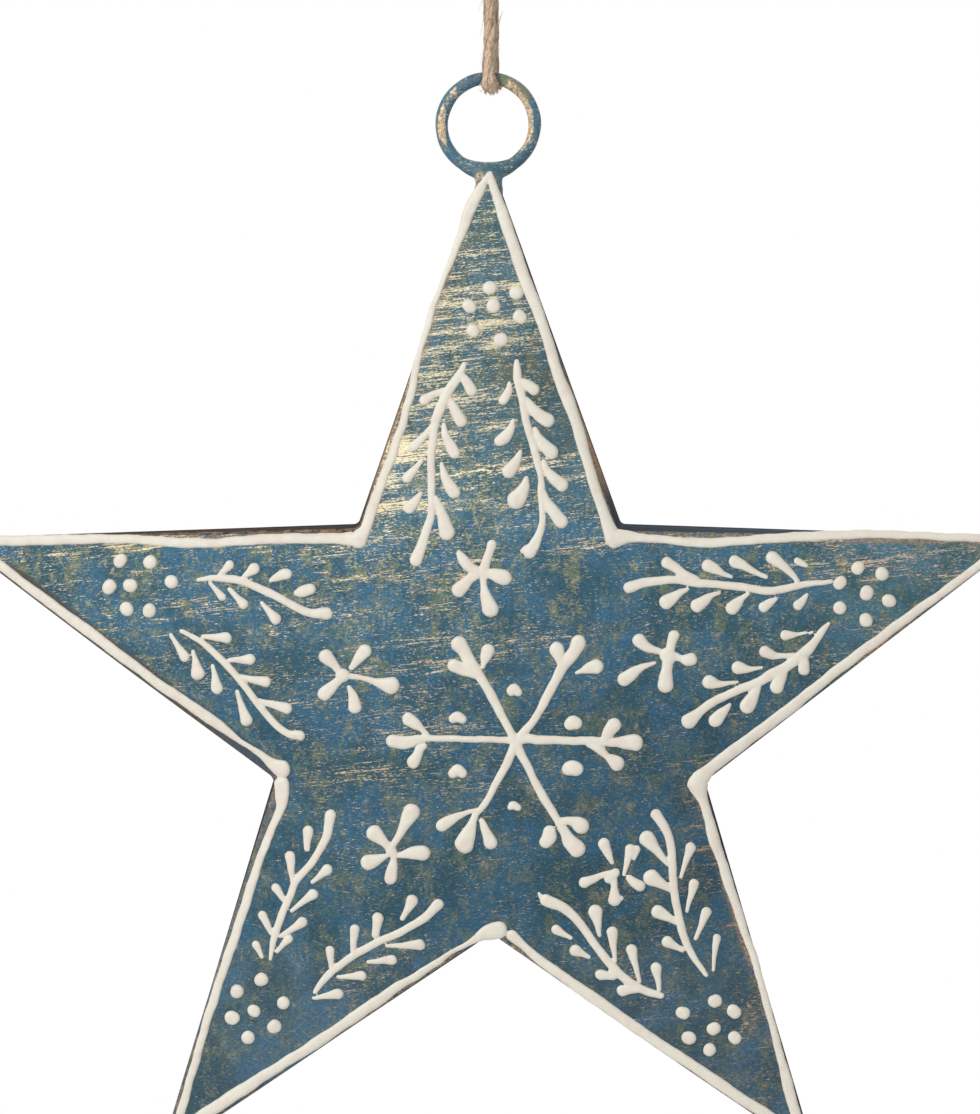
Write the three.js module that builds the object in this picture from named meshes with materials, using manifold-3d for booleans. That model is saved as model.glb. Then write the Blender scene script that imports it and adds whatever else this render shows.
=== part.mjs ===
// Hanging tin star: two pressed steel shells, a soldered wire ring, raised paint and a jute loop.
// Millimetres, +Z up. The star faces -Y. The origin is inside the top of the twine's eye, where it hangs.
import * as THREE from 'three';
import { mergeVertices } from 'three/addons/utils/BufferGeometryUtils.js';
import Module from 'manifold-3d';

const wasm = await Module();
wasm.setup();

// Star outline at the seam
const arms = 5;
const tipRadius = 105;
const notchRadius = 42.6;
const tipRounding = 2.5;
const notchRounding = 1.8;

// Shells: each half bulges from the seam, deepest in the middle
const sheet = 0.6;
const middleDepth = 9;
const tipDepth = 1.5;
const pillowShare = 0.25;
const wallLean = 0.12;
const bend = 0.5;
const seamGap = 0.06;
const edgeShares = [0.33, 0.67];

// Wire ring and the solder that holds it to the top arm
const wireRadius = 1.18;
const ringRadius = 8.72;
const ringAboveTip = 0.45;
const solderGap = 0.08;
const neckHalfWidth = 2.95;
const neckLength = 2.2;
const neckDepth = 4.3;
const neckFlare = 1.9;
const neckWaistShare = 0.25;
const neckHollow = 0.6;
const neckRim = 0.3;
const neckBevel = 0.5;
const solderInsideRing = 0.25;

// Raised paint: beads of half-round section on the front shell
const paintGap = 0.22;
const paintHeight = 0.65;
const borderWidth = 2.3;
const borderInset = 0.15;
const borderRounding = 0.6;
const stemHalfWidth = 0.75;
const leafHalfWidth = 1;
const leafLength = 5;
const leafSpacing = 6;
const leafAngle = 42;
const leafLift = 0.12;
const petals = 5;
const petalRoot = 0.6;
const petalLength = 8.3;
const petalHalfWidth = 1.7;
const dotRadius = 1.2;
const dotHeight = 0.75;
const dotRing = 5.1;
const dotTopShare = 0.55;
const dotRingShare = 0.72;
const flakeRadius = 21.6;
const flakeDotShare = 0.56;
const flakeHalfWidth = 0.85;
const rays = 6;
const budLength = 4;
const budHalfWidth = 1.15;

// Twine: one strand through the ring, its ends knotted under an eye
const twineRadius = 1.15;
const twineGap = 0.3;
const eyeHeight = 30;
const eyeHalfWidth = 6.5;
const strandHeight = 24;
const strandStraight = 6;
const eyeStraight = 4;
const knotRadius = 3.7;
const knotCapShare = 0.92;
const knotTurnShares = [[-0.58, 0.8], [0, 1], [0.58, 0.8]];
const tailLength = 8;
const tailAngle = 68;
const tailRoot = 1.4;
const tailDrop = 1.6;

// Heights from the star's middle up to the ring, and from the origin down to each piece
const tipTop = tipRadius - tipRounding * (1 / Math.sin(armAngle()) - 1);
const ringHeight = tipTop + ringAboveTip + wireRadius + ringRadius;
const knotZ = -eyeHeight;
const ringTopWireZ = knotZ - strandHeight - wireRadius;
const starZ = ringTopWireZ - ringRadius - ringHeight;

const paintColour = 0xe8e1d4;
const sheetColour = 0x4b7796;
const twineColour = 0xb9966f;

// Half the angle between the two edges of an arm, at its tip
function armAngle() {
  const half = Math.PI / arms;
  return Math.atan2(notchRadius * Math.sin(half), tipRadius - notchRadius * Math.cos(half));
}

// Samples of the star's outline moved in by an inset, each with its outward direction
function starOutline(inset, tipRound, notchRound) {
  const half = Math.PI / arms;
  const tipArc = Math.PI / 2 - armAngle();
  const notchArc = tipArc - half;
  const tipCentre = tipRadius - (inset + tipRound) / Math.sin(armAngle());
  const notchCentre = notchRadius - (inset - notchRound) / Math.cos(notchArc);
  const corners = [];
  for (let arm = 0; arm < arms; arm += 1) {
    const axis = Math.PI / 2 - arm * 2 * half;
    corners.push(cornerArc(axis, tipCentre, tipRound, [tipArc, tipArc / 2, 0, -tipArc / 2, -tipArc]));
    corners.push(cornerArc(axis - half, notchCentre, -notchRound, [notchArc, 0, -notchArc]));
  }
  return corners.flatMap((arc, i) => {
    const last = arc[arc.length - 1];
    const next = corners[(i + 1) % corners.length][0];
    return [...arc, ...edgeShares.map((share) => between(last, next, share))];
  });
}

// Points of a rounding whose centre lies on a ray from the star's middle
function cornerArc(ray, distance, radius, turns) {
  return turns.map((turn) => {
    const out = [Math.cos(ray + turn), Math.sin(ray + turn)];
    const x = distance * Math.cos(ray) + radius * out[0];
    const z = distance * Math.sin(ray) + radius * out[1];
    return { x, z, out };
  });
}

function between(a, b, share) {
  return { x: a.x + (b.x - a.x) * share, z: a.z + (b.z - a.z) * share, out: b.out };
}

// How far the front face stands in front of the seam at a point of the star
function domeDepth(x, z) {
  const radius = Math.hypot(x, z);
  const theta = Math.atan2(x, z);
  const mean = (1 / tipRadius + 1 / notchRadius) / 2;
  const swing = (1 / notchRadius - 1 / tipRadius) / 2;
  const share = radius * (mean - swing * Math.cos(arms * theta));
  const lens = Math.max(0, 1 - (radius / tipRadius) ** 2);
  return tipDepth + (middleDepth - tipDepth) * lens * (1 - pillowShare * share ** 4);
}

// The edge of the face, leaned in from the seam by the side wall
function faceEdge(point, inward) {
  const lean = wallLean * domeDepth(point.x, point.z) + inward;
  return { x: point.x - point.out[0] * lean, z: point.z - point.out[1] * lean };
}

// Joins rings of points, from a pole to a pole, into one closed skin
function loft(rings) {
  const positions = [];
  const starts = [];
  for (const ring of rings) {
    starts.push(positions.length / 3);
    for (const point of ring) {
      positions.push(point.x, point.y, point.z);
    }
  }
  const index = [];
  for (let r = 0; r + 1 < rings.length; r += 1) {
    const a = rings[r].length;
    const b = rings[r + 1].length;
    const count = Math.max(a, b);
    for (let i = 0; i < count; i += 1) {
      const j = (i + 1) % count;
      const a0 = starts[r] + (i % a);
      const a1 = starts[r] + (j % a);
      const b0 = starts[r + 1] + (i % b);
      const b1 = starts[r + 1] + (j % b);
      if (b > 1) {
        index.push(a0, b0, b1);
      }
      if (a > 1) {
        index.push(a0, b1, a1);
      }
    }
  }
  return outwards(positions, index);
}

// A geometry whose faces point out, whichever way its rings ran
function outwards(positions, index) {
  let volume = 0;
  const corner = (i) => new THREE.Vector3(positions[3 * i], positions[3 * i + 1], positions[3 * i + 2]);
  for (let i = 0; i < index.length; i += 3) {
    volume += corner(index[i]).dot(corner(index[i + 1]).cross(corner(index[i + 2])));
  }
  const geometry = new THREE.BufferGeometry();
  geometry.setAttribute('position', new THREE.Float32BufferAttribute(positions, 3));
  geometry.setIndex(volume > 0 ? index : [...index].reverse());
  geometry.computeVertexNormals();
  return geometry;
}

function solidOf(geometry) {
  const bare = geometry.clone();
  bare.deleteAttribute('normal');
  bare.deleteAttribute('uv');
  const merged = mergeVertices(bare, 1e-4);
  return new wasm.Manifold(new wasm.Mesh({
    numProp: 3,
    vertProperties: new Float32Array(merged.attributes.position.array),
    triVerts: new Uint32Array(merged.index.array),
  }));
}

function geometryOf(solid) {
  const mesh = solid.getMesh();
  const geometry = new THREE.BufferGeometry();
  geometry.setAttribute('position', new THREE.BufferAttribute(mesh.vertProperties, 3));
  geometry.setIndex(new THREE.BufferAttribute(mesh.triVerts, 1));
  geometry.computeVertexNormals();
  return geometry;
}

// The outer skin of one half, as rings from the middle of the face to the seam, grown by a clearance
function skinRings(side, grow, rim) {
  const outline = starOutline(0, tipRounding, notchRounding);
  const place = (point, scale, depth) => ({ x: point.x * scale, y: -side * depth, z: point.z * scale });
  const faces = outline.map((point) => faceEdge(point, bend - grow));
  const rings = [[{ x: 0, y: -side * (middleDepth + grow), z: 0 }]];
  for (const scale of [0.25, 0.5, 0.7, 0.85, 0.95, 1]) {
    rings.push(faces.map((p) => place(p, scale, domeDepth(p.x * scale, p.z * scale) + grow)));
  }
  for (const [inward, lowered] of [[0.3, 0.3], [0, 1]]) {
    rings.push(outline.map((point) => {
      const edge = faceEdge(point, inward * bend - grow);
      return place(edge, 1, domeDepth(edge.x, edge.z) + grow - lowered * bend);
    }));
  }
  rings.push(outline.map((point) => {
    return place({ x: point.x + point.out[0] * grow, z: point.z + point.out[1] * grow }, 1, rim);
  }));
  return rings;
}

// One pressed half of the star: face, bend and side wall of even sheet, open at the seam
function shell(side) {
  const outline = starOutline(0, tipRounding, notchRounding);
  const outer = skinRings(side, 0, seamGap / 2);
  const place = (point, scale, depth) => ({ x: point.x * scale, y: -side * depth, z: point.z * scale });
  const inner = [];
  inner.push(outline.map((point) => {
    return place({ x: point.x - point.out[0] * sheet, z: point.z - point.out[1] * sheet }, 1, seamGap / 2);
  }));
  const faces = outline.map((point) => faceEdge(point, sheet));
  for (const scale of [1, 0.7, 0.35]) {
    inner.push(faces.map((p) => place(p, scale, domeDepth(p.x * scale, p.z * scale) - sheet)));
  }
  inner.push([{ x: 0, y: -side * (middleDepth - sheet), z: 0 }]);
  return loft([...outer, ...inner]);
}

// A point of raised paint: a place on the face, and how high the paint stands there
function paintPoint(x, z, rise) {
  return { x, y: -(domeDepth(x, z) + paintGap + rise), z };
}

// A bead of paint along stations {x, z, half}, flat below and round-shouldered above
function bead(stations, lift) {
  const rings = stations.map(({ x, z, half, rise }, i) => {
    const before = stations[Math.max(0, i - 1)];
    const after = stations[Math.min(stations.length - 1, i + 1)];
    const length = Math.hypot(after.x - before.x, after.z - before.z);
    const across = [(after.z - before.z) / length * half, -(after.x - before.x) / length * half];
    return [[-1, 0], [-0.55, 1], [0.55, 1], [1, 0]].map(([share, up]) => {
      return paintPoint(x + across[0] * share, z + across[1] * share, lift + up * rise * paintHeight);
    });
  });
  const positions = rings.flat().flatMap((point) => [point.x, point.y, point.z]);
  const end = 4 * (rings.length - 1);
  const index = [0, 1, 2, 0, 2, 3, end, end + 2, end + 1, end, end + 3, end + 2];
  for (let i = 0; i < end; i += 4) {
    for (let j = 0; j < 4; j += 1) {
      const k = (j + 1) % 4;
      index.push(i + j, i + 4 + j, i + 4 + k);
      index.push(i + j, i + 4 + k, i + k);
    }
  }
  return outwards(positions, index);
}

// A straight stroke that swells towards its end; root is its width at the start
function stroke([x, z], direction, length, half, root, lift) {
  const at = (share, width) => ({
    x: x + Math.cos(direction) * length * share,
    z: z + Math.sin(direction) * length * share,
    half: half * width,
    rise: 0.5 + 0.5 * width,
  });
  return bead([at(0, root), at(0.7, 1), at(1, 0.45)], lift);
}

function joined(beads) {
  return geometryOf(beads.map(solidOf).reduce((whole, piece) => whole.add(piece)));
}

// A place on an arm: share of the tip radius along it, share of its half width to one side
function onArm(arm, along, across) {
  const distance = along * tipRadius;
  const aside = across * (tipRadius - distance) * Math.tan(armAngle());
  const axis = Math.PI / 2 - arm * 2 * Math.PI / arms;
  return [
    distance * Math.cos(axis) + aside * Math.sin(axis),
    distance * Math.sin(axis) - aside * Math.cos(axis),
  ];
}

// A leafy stem through three places on an arm, leaves leaning towards the middle of the star
function sprig(arm, places) {
  const [start, middle, end] = places.map(([along, across]) => new THREE.Vector2(...onArm(arm, along, across)));
  const pull = middle.clone().multiplyScalar(2).sub(start.clone().add(end).multiplyScalar(0.5));
  const curve = new THREE.QuadraticBezierCurve(start, pull, end);
  const steps = 5;
  const stem = curve.getSpacedPoints(steps).map((point, i) => {
    const width = i === 0 || i === steps ? 0.5 : 1;
    return { x: point.x, z: point.y, half: stemHalfWidth * width, rise: width };
  });
  const beads = [bead(stem, 0)];
  const length = curve.getLength();
  const pairs = Math.floor((length - leafSpacing / 2) / leafSpacing);
  for (let i = 0; i < pairs; i += 1) {
    for (const side of [-1, 1]) {
      const share = leafSpacing * (i + 0.4 + 0.25 * side) / length;
      const root = curve.getPointAt(share);
      const tangent = curve.getTangentAt(share);
      const direction = Math.atan2(tangent.y, tangent.x) + side * THREE.MathUtils.degToRad(leafAngle);
      beads.push(stroke([root.x, root.y], direction, leafLength, leafHalfWidth, 0.5, leafLift));
    }
  }
  return joined(beads);
}

// Five drop-shaped petals that meet in the middle
function flower(arm, [along, across, turn]) {
  const [x, z] = onArm(arm, along, across);
  const beads = [];
  for (let petal = 0; petal < petals; petal += 1) {
    const direction = THREE.MathUtils.degToRad(turn + petal * 360 / petals);
    const root = [x - petalRoot * Math.cos(direction), z - petalRoot * Math.sin(direction)];
    const lift = petal * leafLift / petals;
    beads.push(stroke(root, direction, petalLength + petalRoot, petalHalfWidth, 0.25, lift));
  }
  return joined(beads);
}

// Six rays with a pair of buds near each end
function snowflake([x, z]) {
  const beads = [];
  for (let ray = 0; ray < rays; ray += 1) {
    const direction = ray * 2 * Math.PI / rays;
    const root = [x - Math.cos(direction), z - Math.sin(direction)];
    const lift = (ray % 3) * leafLift / 3;
    beads.push(stroke(root, direction, flakeRadius + 1, flakeHalfWidth, 0.9, lift));
    const reach = flakeRadius - budLength;
    const fork = [x + reach * Math.cos(direction), z + reach * Math.sin(direction)];
    for (const side of [-1, 1]) {
      beads.push(stroke(fork, direction + side * Math.PI / 4, budLength, budHalfWidth, 0.5, leafLift + side * 0.02));
    }
  }
  return joined(beads);
}

// The paint line round the face, just inside the bend
function border() {
  const outerEdge = starOutline(0, tipRounding, notchRounding).map((p) => faceEdge(p, borderInset));
  const lean = wallLean * tipDepth;
  const innerEdge = starOutline(lean + borderInset + borderWidth, borderRounding, notchRounding + borderWidth);
  const section = outerEdge.map((outer, i) => {
    const inner = innerEdge[i];
    return [[0, 0], [0.22, 1], [0.78, 1], [1, 0]].map(([share, up]) => {
      const x = outer.x + (inner.x - outer.x) * share;
      const z = outer.z + (inner.z - outer.z) * share;
      return paintPoint(x, z, up * paintHeight);
    });
  });
  const count = section.length;
  const positions = section.flat().flatMap((point) => [point.x, point.y, point.z]);
  const index = [];
  for (let i = 0; i < count; i += 1) {
    const next = (i + 1) % count;
    for (let j = 0; j < 4; j += 1) {
      const k = (j + 1) % 4;
      index.push(4 * i + j, 4 * next + j, 4 * next + k);
      index.push(4 * i + j, 4 * next + k, 4 * i + k);
    }
  }
  return outwards(positions, index);
}

// Dots of paint bonded to the front sheet: seven on each arm, and six between the snowflake's rays
function dotPlaces([flakeX, flakeZ]) {
  const places = [];
  for (let arm = 0; arm < arms; arm += 1) {
    const [x, z] = onArm(arm, dotRingShare, 0);
    places.push([x, z]);
    for (let i = 0; i < 6; i += 1) {
      const direction = Math.PI / 2 - arm * 2 * Math.PI / arms + i * Math.PI / 3;
      places.push([x + dotRing * Math.cos(direction), z + dotRing * Math.sin(direction)]);
    }
  }
  for (let i = 0; i < 6; i += 1) {
    const direction = Math.PI / 6 + i * Math.PI / 3;
    const distance = flakeRadius * flakeDotShare;
    places.push([flakeX + distance * Math.cos(direction), flakeZ + distance * Math.sin(direction)]);
  }
  return places;
}

function dot([x, z]) {
  const sunk = sheet * 0.7;
  const geometry = new THREE.CylinderGeometry(dotRadius, dotRadius * dotTopShare, dotHeight + sunk, 7);
  geometry.translate(x, -domeDepth(x, z) - (dotHeight - sunk) / 2, z);
  return geometry;
}

function frontShell(flakeCentre) {
  let solid = solidOf(shell(1));
  for (const place of dotPlaces(flakeCentre)) {
    solid = solid.add(solidOf(dot(place)));
  }
  return geometryOf(solid);
}

function ringGeometry(radius, sides, steps) {
  const geometry = new THREE.TorusGeometry(ringRadius, radius, sides, steps);
  geometry.rotateX(Math.PI / 2);
  geometry.translate(0, 0, ringHeight);
  return geometry;
}

// Solder round the bottom of the ring and the tip of the top arm, with hollow sides
function solderNeck() {
  const top = ringHeight - ringRadius + wireRadius + solderInsideRing;
  const bottom = tipTop - neckLength;
  const waist = tipTop - neckLength * neckWaistShare;
  const spread = neckHalfWidth + neckFlare;
  const outer = ringRadius + wireRadius;
  const meets = ringHeight - Math.sqrt(outer ** 2 - spread ** 2);
  const profile = new THREE.Shape();
  profile.moveTo(-neckHalfWidth, bottom);
  profile.lineTo(neckHalfWidth, bottom);
  profile.lineTo(neckHalfWidth, waist);
  profile.quadraticCurveTo(neckHalfWidth, meets - neckHollow, spread, meets + neckRim);
  profile.lineTo(neckHalfWidth, top);
  profile.lineTo(-neckHalfWidth, top);
  profile.lineTo(-spread, meets + neckRim);
  profile.quadraticCurveTo(-neckHalfWidth, meets - neckHollow, -neckHalfWidth, waist);
  profile.lineTo(-neckHalfWidth, bottom);
  const blank = new THREE.ExtrudeGeometry(profile, {
    depth: neckDepth - 2 * neckBevel,
    curveSegments: 4,
    bevelThickness: neckBevel,
    bevelSize: neckBevel,
    bevelOffset: -neckBevel,
    bevelSegments: 1,
  });
  blank.translate(0, 0, neckBevel - neckDepth / 2);
  blank.rotateX(Math.PI / 2);
  const front = skinRings(1, solderGap, 0);
  const back = skinRings(-1, solderGap, 0);
  back.pop();
  const tip = loft([...front, ...back.reverse()]);
  const wire = ringGeometry(wireRadius + solderGap, 8, 32);
  return geometryOf(solidOf(blank).subtract(solidOf(tip)).subtract(solidOf(wire)));
}

// A round tube of eight sides along a smooth curve through points
function twine(points, steps) {
  const path = new THREE.CatmullRomCurve3(points.map((p) => new THREE.Vector3(...p)), false, 'centripetal');
  const corners = [];
  for (let i = 0; i < 8; i += 1) {
    corners.push(new THREE.Vector2(0, twineRadius).rotateAround(new THREE.Vector2(), i * Math.PI / 4));
  }
  return new THREE.ExtrudeGeometry(new THREE.Shape(corners), { steps, extrudePath: path });
}

const strandSpread = twineRadius + twineGap * 2 / 3;
const underKnot = knotZ - knotRadius - twineGap;
const overKnot = knotZ + knotRadius + twineGap;

// Both strands below the knot and the bight between them, under the top of the ring
function strands() {
  const wrap = wireRadius + twineGap + twineRadius;
  const z = ringTopWireZ;
  const front = [
    [0, -strandSpread, underKnot],
    [0, -strandSpread - twineGap / 3, underKnot - strandStraight],
    [0, -(strandSpread + wrap) / 2, z + strandStraight],
    [0, -wrap, z + twineRadius * 2],
    [0, -wrap, z],
    [0, -wrap * Math.SQRT1_2, z - wrap * Math.SQRT1_2],
  ];
  const back = front.map(([x, y, height]) => [x, -y, height]).reverse();
  return twine([...front, [0, 0, z - wrap], ...back], 30);
}

// The eye above the knot, a drop-shaped loop that a hook or a twig goes through
function eye() {
  const left = [
    [-strandSpread, 0, overKnot],
    [-strandSpread - twineRadius, 0, overKnot + eyeStraight],
    [-eyeHalfWidth * 0.75, 0, -eyeHeight * 0.5],
    [-eyeHalfWidth, 0, -eyeHeight * 0.22],
    [-eyeHalfWidth * 0.72, 0, -eyeHeight * 0.04],
  ];
  const right = left.map(([x, y, z]) => [-x, y, z]).reverse();
  return twine([...left, [0, 0, twineRadius], ...right], 24);
}

// Three turns of twine pulled into a round knot, with two short cut ends
function knot() {
  const profile = [new THREE.Vector2(0, -knotRadius * knotCapShare)];
  for (const [height, reach] of knotTurnShares) {
    for (const angle of [-55, -18, 18, 55]) {
      const turn = THREE.MathUtils.degToRad(angle);
      const core = knotRadius * reach - twineRadius;
      const out = core + twineRadius * Math.cos(turn);
      profile.push(new THREE.Vector2(out, knotRadius * height + twineRadius * Math.sin(turn)));
    }
  }
  profile.push(new THREE.Vector2(0, knotRadius * knotCapShare));
  const turns = new THREE.LatheGeometry(profile, 12);
  turns.rotateX(Math.PI / 2);
  let solid = solidOf(turns);
  for (const side of [-1, 1]) {
    const tail = new THREE.CylinderGeometry(twineRadius, twineRadius * 0.9, tailLength, 8);
    tail.rotateZ(side * THREE.MathUtils.degToRad(tailAngle));
    tail.rotateX(Math.PI / 2);
    tail.translate(side * (tailLength / 2 + tailRoot), 0, -tailDrop);
    solid = solid.add(solidOf(tail));
  }
  const geometry = geometryOf(solid);
  geometry.translate(0, 0, knotZ);
  return geometry;
}

function piece(name, geometry, colour, roughness, metalness) {
  const material = new THREE.MeshStandardMaterial({ color: colour, roughness, metalness });
  const mesh = new THREE.Mesh(geometry, material);
  mesh.name = name;
  return mesh;
}

// Where the painted sprigs and flowers lie on each arm: shares along the arm and across it
const armNames = ['top', 'right', 'lower_right', 'lower_left', 'left'];
const sprigPlaces = [
  [[[0.62, -0.33], [0.45, -0.56], [0.27, -0.52]], [[0.62, 0.33], [0.4, 0.41], [0.29, 0.26]]],
  [[[0.62, -0.33], [0.45, -0.5], [0.29, -0.4]], [[0.62, 0.33], [0.45, 0.5], [0.31, 0.42]]],
  [[[0.62, -0.33], [0.45, -0.5], [0.33, -0.45]], [[0.62, 0.33], [0.45, 0.52], [0.3, 0.5]]],
  [[[0.62, -0.33], [0.45, -0.52], [0.3, -0.5]], [[0.62, 0.33], [0.45, 0.5], [0.31, 0.42]]],
  [[[0.6, -0.28], [0.45, -0.5], [0.31, -0.55]], [[0.6, 0.38], [0.45, 0.42], [0.33, 0.32]]],
];
const flowerPlaces = [
  [0.243, -0.06, 80],
  [0.31, 0.02, 60],
  [0.36, 0.02, 100],
  [0.3, -0.02, 60],
  [0.256, -0.08, 20],
];
const flakeCentre = [0.044 * tipRadius, -0.055 * tipRadius];

const star = new THREE.Group();
star.position.set(0, 0, starZ);
star.add(piece('front_shell', frontShell(flakeCentre), sheetColour, 0.45, 0.55));
star.add(piece('back_shell', shell(-1), sheetColour, 0.45, 0.55));
star.add(piece('hanging_ring', ringGeometry(wireRadius, 8, 32), sheetColour, 0.4, 0.7));
star.add(piece('solder_neck', solderNeck(), sheetColour, 0.5, 0.6));
star.add(piece('paint_border', border(), paintColour, 0.55, 0));
star.add(piece('paint_snowflake', snowflake(flakeCentre), paintColour, 0.55, 0));
armNames.forEach((name, arm) => {
  star.add(piece(`flower_${name}`, flower(arm, flowerPlaces[arm]), paintColour, 0.55, 0));
  ['a', 'b'].forEach((letter, side) => {
    star.add(piece(`sprig_${name}_${letter}`, sprig(arm, sprigPlaces[arm][side]), paintColour, 0.55, 0));
  });
});

const ornament = new THREE.Group();
ornament.add(star);
ornament.add(piece('twine_eye', eye(), twineColour, 0.95, 0));
ornament.add(piece('twine_knot', knot(), twineColour, 0.95, 0));
ornament.add(piece('twine_strands', strands(), twineColour, 0.95, 0));

export default ornament;
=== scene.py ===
"""A hanging tin star: two shells in worn blue paint, raised cream ornament, a wire ring and jute twine."""
import math

import bpy
import numpy as np
from mathutils import Matrix, Vector


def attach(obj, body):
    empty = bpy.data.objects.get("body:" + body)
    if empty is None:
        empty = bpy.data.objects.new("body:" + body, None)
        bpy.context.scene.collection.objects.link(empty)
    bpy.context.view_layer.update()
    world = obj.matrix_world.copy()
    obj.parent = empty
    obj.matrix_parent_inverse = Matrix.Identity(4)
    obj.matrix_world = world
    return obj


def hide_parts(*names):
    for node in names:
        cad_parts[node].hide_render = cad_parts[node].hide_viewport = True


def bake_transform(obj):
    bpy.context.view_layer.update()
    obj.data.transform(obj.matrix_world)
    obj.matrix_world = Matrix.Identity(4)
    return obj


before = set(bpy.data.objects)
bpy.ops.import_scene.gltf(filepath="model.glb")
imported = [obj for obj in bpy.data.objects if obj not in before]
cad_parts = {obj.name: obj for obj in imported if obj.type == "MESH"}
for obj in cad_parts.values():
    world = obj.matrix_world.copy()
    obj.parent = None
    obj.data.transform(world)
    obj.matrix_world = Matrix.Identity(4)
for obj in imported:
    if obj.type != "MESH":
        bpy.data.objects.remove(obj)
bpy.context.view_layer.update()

bl_info = {
    "name": "Tin Star Ornament",
    "version": (1, 0, 0),
    "blender": (4, 5, 0),
    "location": "View3D > Sidebar > Tin Star",
    "description": "Makes a painted tin star with its ring, its twine and a plain studio stage",
    "category": "Add Mesh",
}

MM = 0.001

# The photograph's frame in pixels, and the size of one pixel at the star
PHOTO_WIDTH = 980
PHOTO_HEIGHT = 1114
PIXEL_MM = 0.1885

# The camera: degrees round and up, metres away, the point it looks at in millimetres, lens and sensor
CAMERA_AZIMUTH = 4.0
CAMERA_ELEVATION = 4.0
CAMERA_DISTANCE = 1.1
CAMERA_TARGET = (-0.26, -145.2)
CAMERA_LENS = 188.55
SENSOR_WIDTH = 36.0

# Heights of the model in millimetres, in the CAD's own frame
STAR_Z = -174.27
RING_Z = -63.9
RING_ASIDE = -0.6
RING_TOP_Z = -55.18
KNOT_Z = -30.0
OVER_KNOT_Z = -26.0
UNDER_KNOT_Z = -34.0

# Angle in degrees and distance in millimetres of the star's tips and notches, as the photograph shows them
TIPS = [(90.43, 105.0), (18.43, 105.0), (-53.86, 103.8), (-126.49, 106.2), (-197.52, 106.7)]
NOTCHES = [(55.37, 43.0), (-18.02, 42.4), (-89.75, 42.2), (-162.58, 43.1), (-234.46, 43.2)]

# Distances from the middle, at a tip and at a notch, between which the dome's form swings
TIP_REACH = 105.0
NOTCH_REACH = 42.6

# How far from a tip the side wall stands upright before it starts to lean in full
UPRIGHT_REACH = 60

# How far each shell's edge stays off the seam plane
SEAM_GAP = 0.03

# The solder on the top tip: where it starts, half its width, its depth and how far it fades out
SOLDER_FROM = 97.5
SOLDER_HALF = 5.5
SOLDER_DEPTH = 2.22
SOLDER_FADE = 1.5

# Values of the shells' rim layer, from which the materials read how far a point is from the seam
RIM_SEAM = -1.0
RIM_BEND = -0.1
RIM_FACE = 0.3
RIM_MIDDLE = 30.0


def srgb(red, green, blue):
    """A linear colour from the 0 to 255 values of a swatch."""
    def straight(value):
        share = value / 255
        return share / 12.92 if share <= 0.04045 else ((share + 0.055) / 1.055) ** 2.4

    return (straight(red), straight(green), straight(blue), 1.0)


# Sizes and colours

class StarSizes(bpy.types.PropertyGroup):
    """Sizes of the tin star."""

    middle_depth: bpy.props.FloatProperty(
        name="Middle depth", description="How far each half bulges in the middle", default=0.009,
        unit="LENGTH")
    tip_depth: bpy.props.FloatProperty(
        name="Tip depth", description="How far each half stands off the seam at a tip", default=0.0015,
        unit="LENGTH")
    pillow: bpy.props.FloatProperty(
        name="Pillow", description="How much the face falls towards the edges", default=0.25,
        subtype="FACTOR")
    wall_lean: bpy.props.FloatProperty(
        name="Wall lean", description="How far the side wall leans in for its height, at a notch",
        default=0.14, subtype="FACTOR")
    sheet: bpy.props.FloatProperty(
        name="Sheet", description="Thickness of the tinned steel", default=0.0006, unit="LENGTH")
    bend: bpy.props.FloatProperty(
        name="Bend", description="Radius between face and side wall", default=0.0005, unit="LENGTH")
    dent: bpy.props.FloatProperty(
        name="Dent", description="Depth of the hand-made unevenness", default=0.00012, unit="LENGTH")
    tip_rounding: bpy.props.FloatProperty(
        name="Tip rounding", description="Radius of each tip", default=0.0015, unit="LENGTH")
    notch_rounding: bpy.props.FloatProperty(
        name="Notch rounding", description="Radius of each notch", default=0.0013, unit="LENGTH")
    ring_radius: bpy.props.FloatProperty(
        name="Ring radius", description="Radius of the hanging ring's wire line", default=0.00872,
        unit="LENGTH")
    wire_radius: bpy.props.FloatProperty(
        name="Wire radius", description="Radius of the ring's wire", default=0.00118, unit="LENGTH")
    twine_radius: bpy.props.FloatProperty(
        name="Twine radius", description="Radius of the jute twine", default=0.00115, unit="LENGTH")
    paint_step: bpy.props.FloatProperty(
        name="Paint detail", description="Width of one facet of raised paint", default=0.0002, unit="LENGTH")


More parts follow.
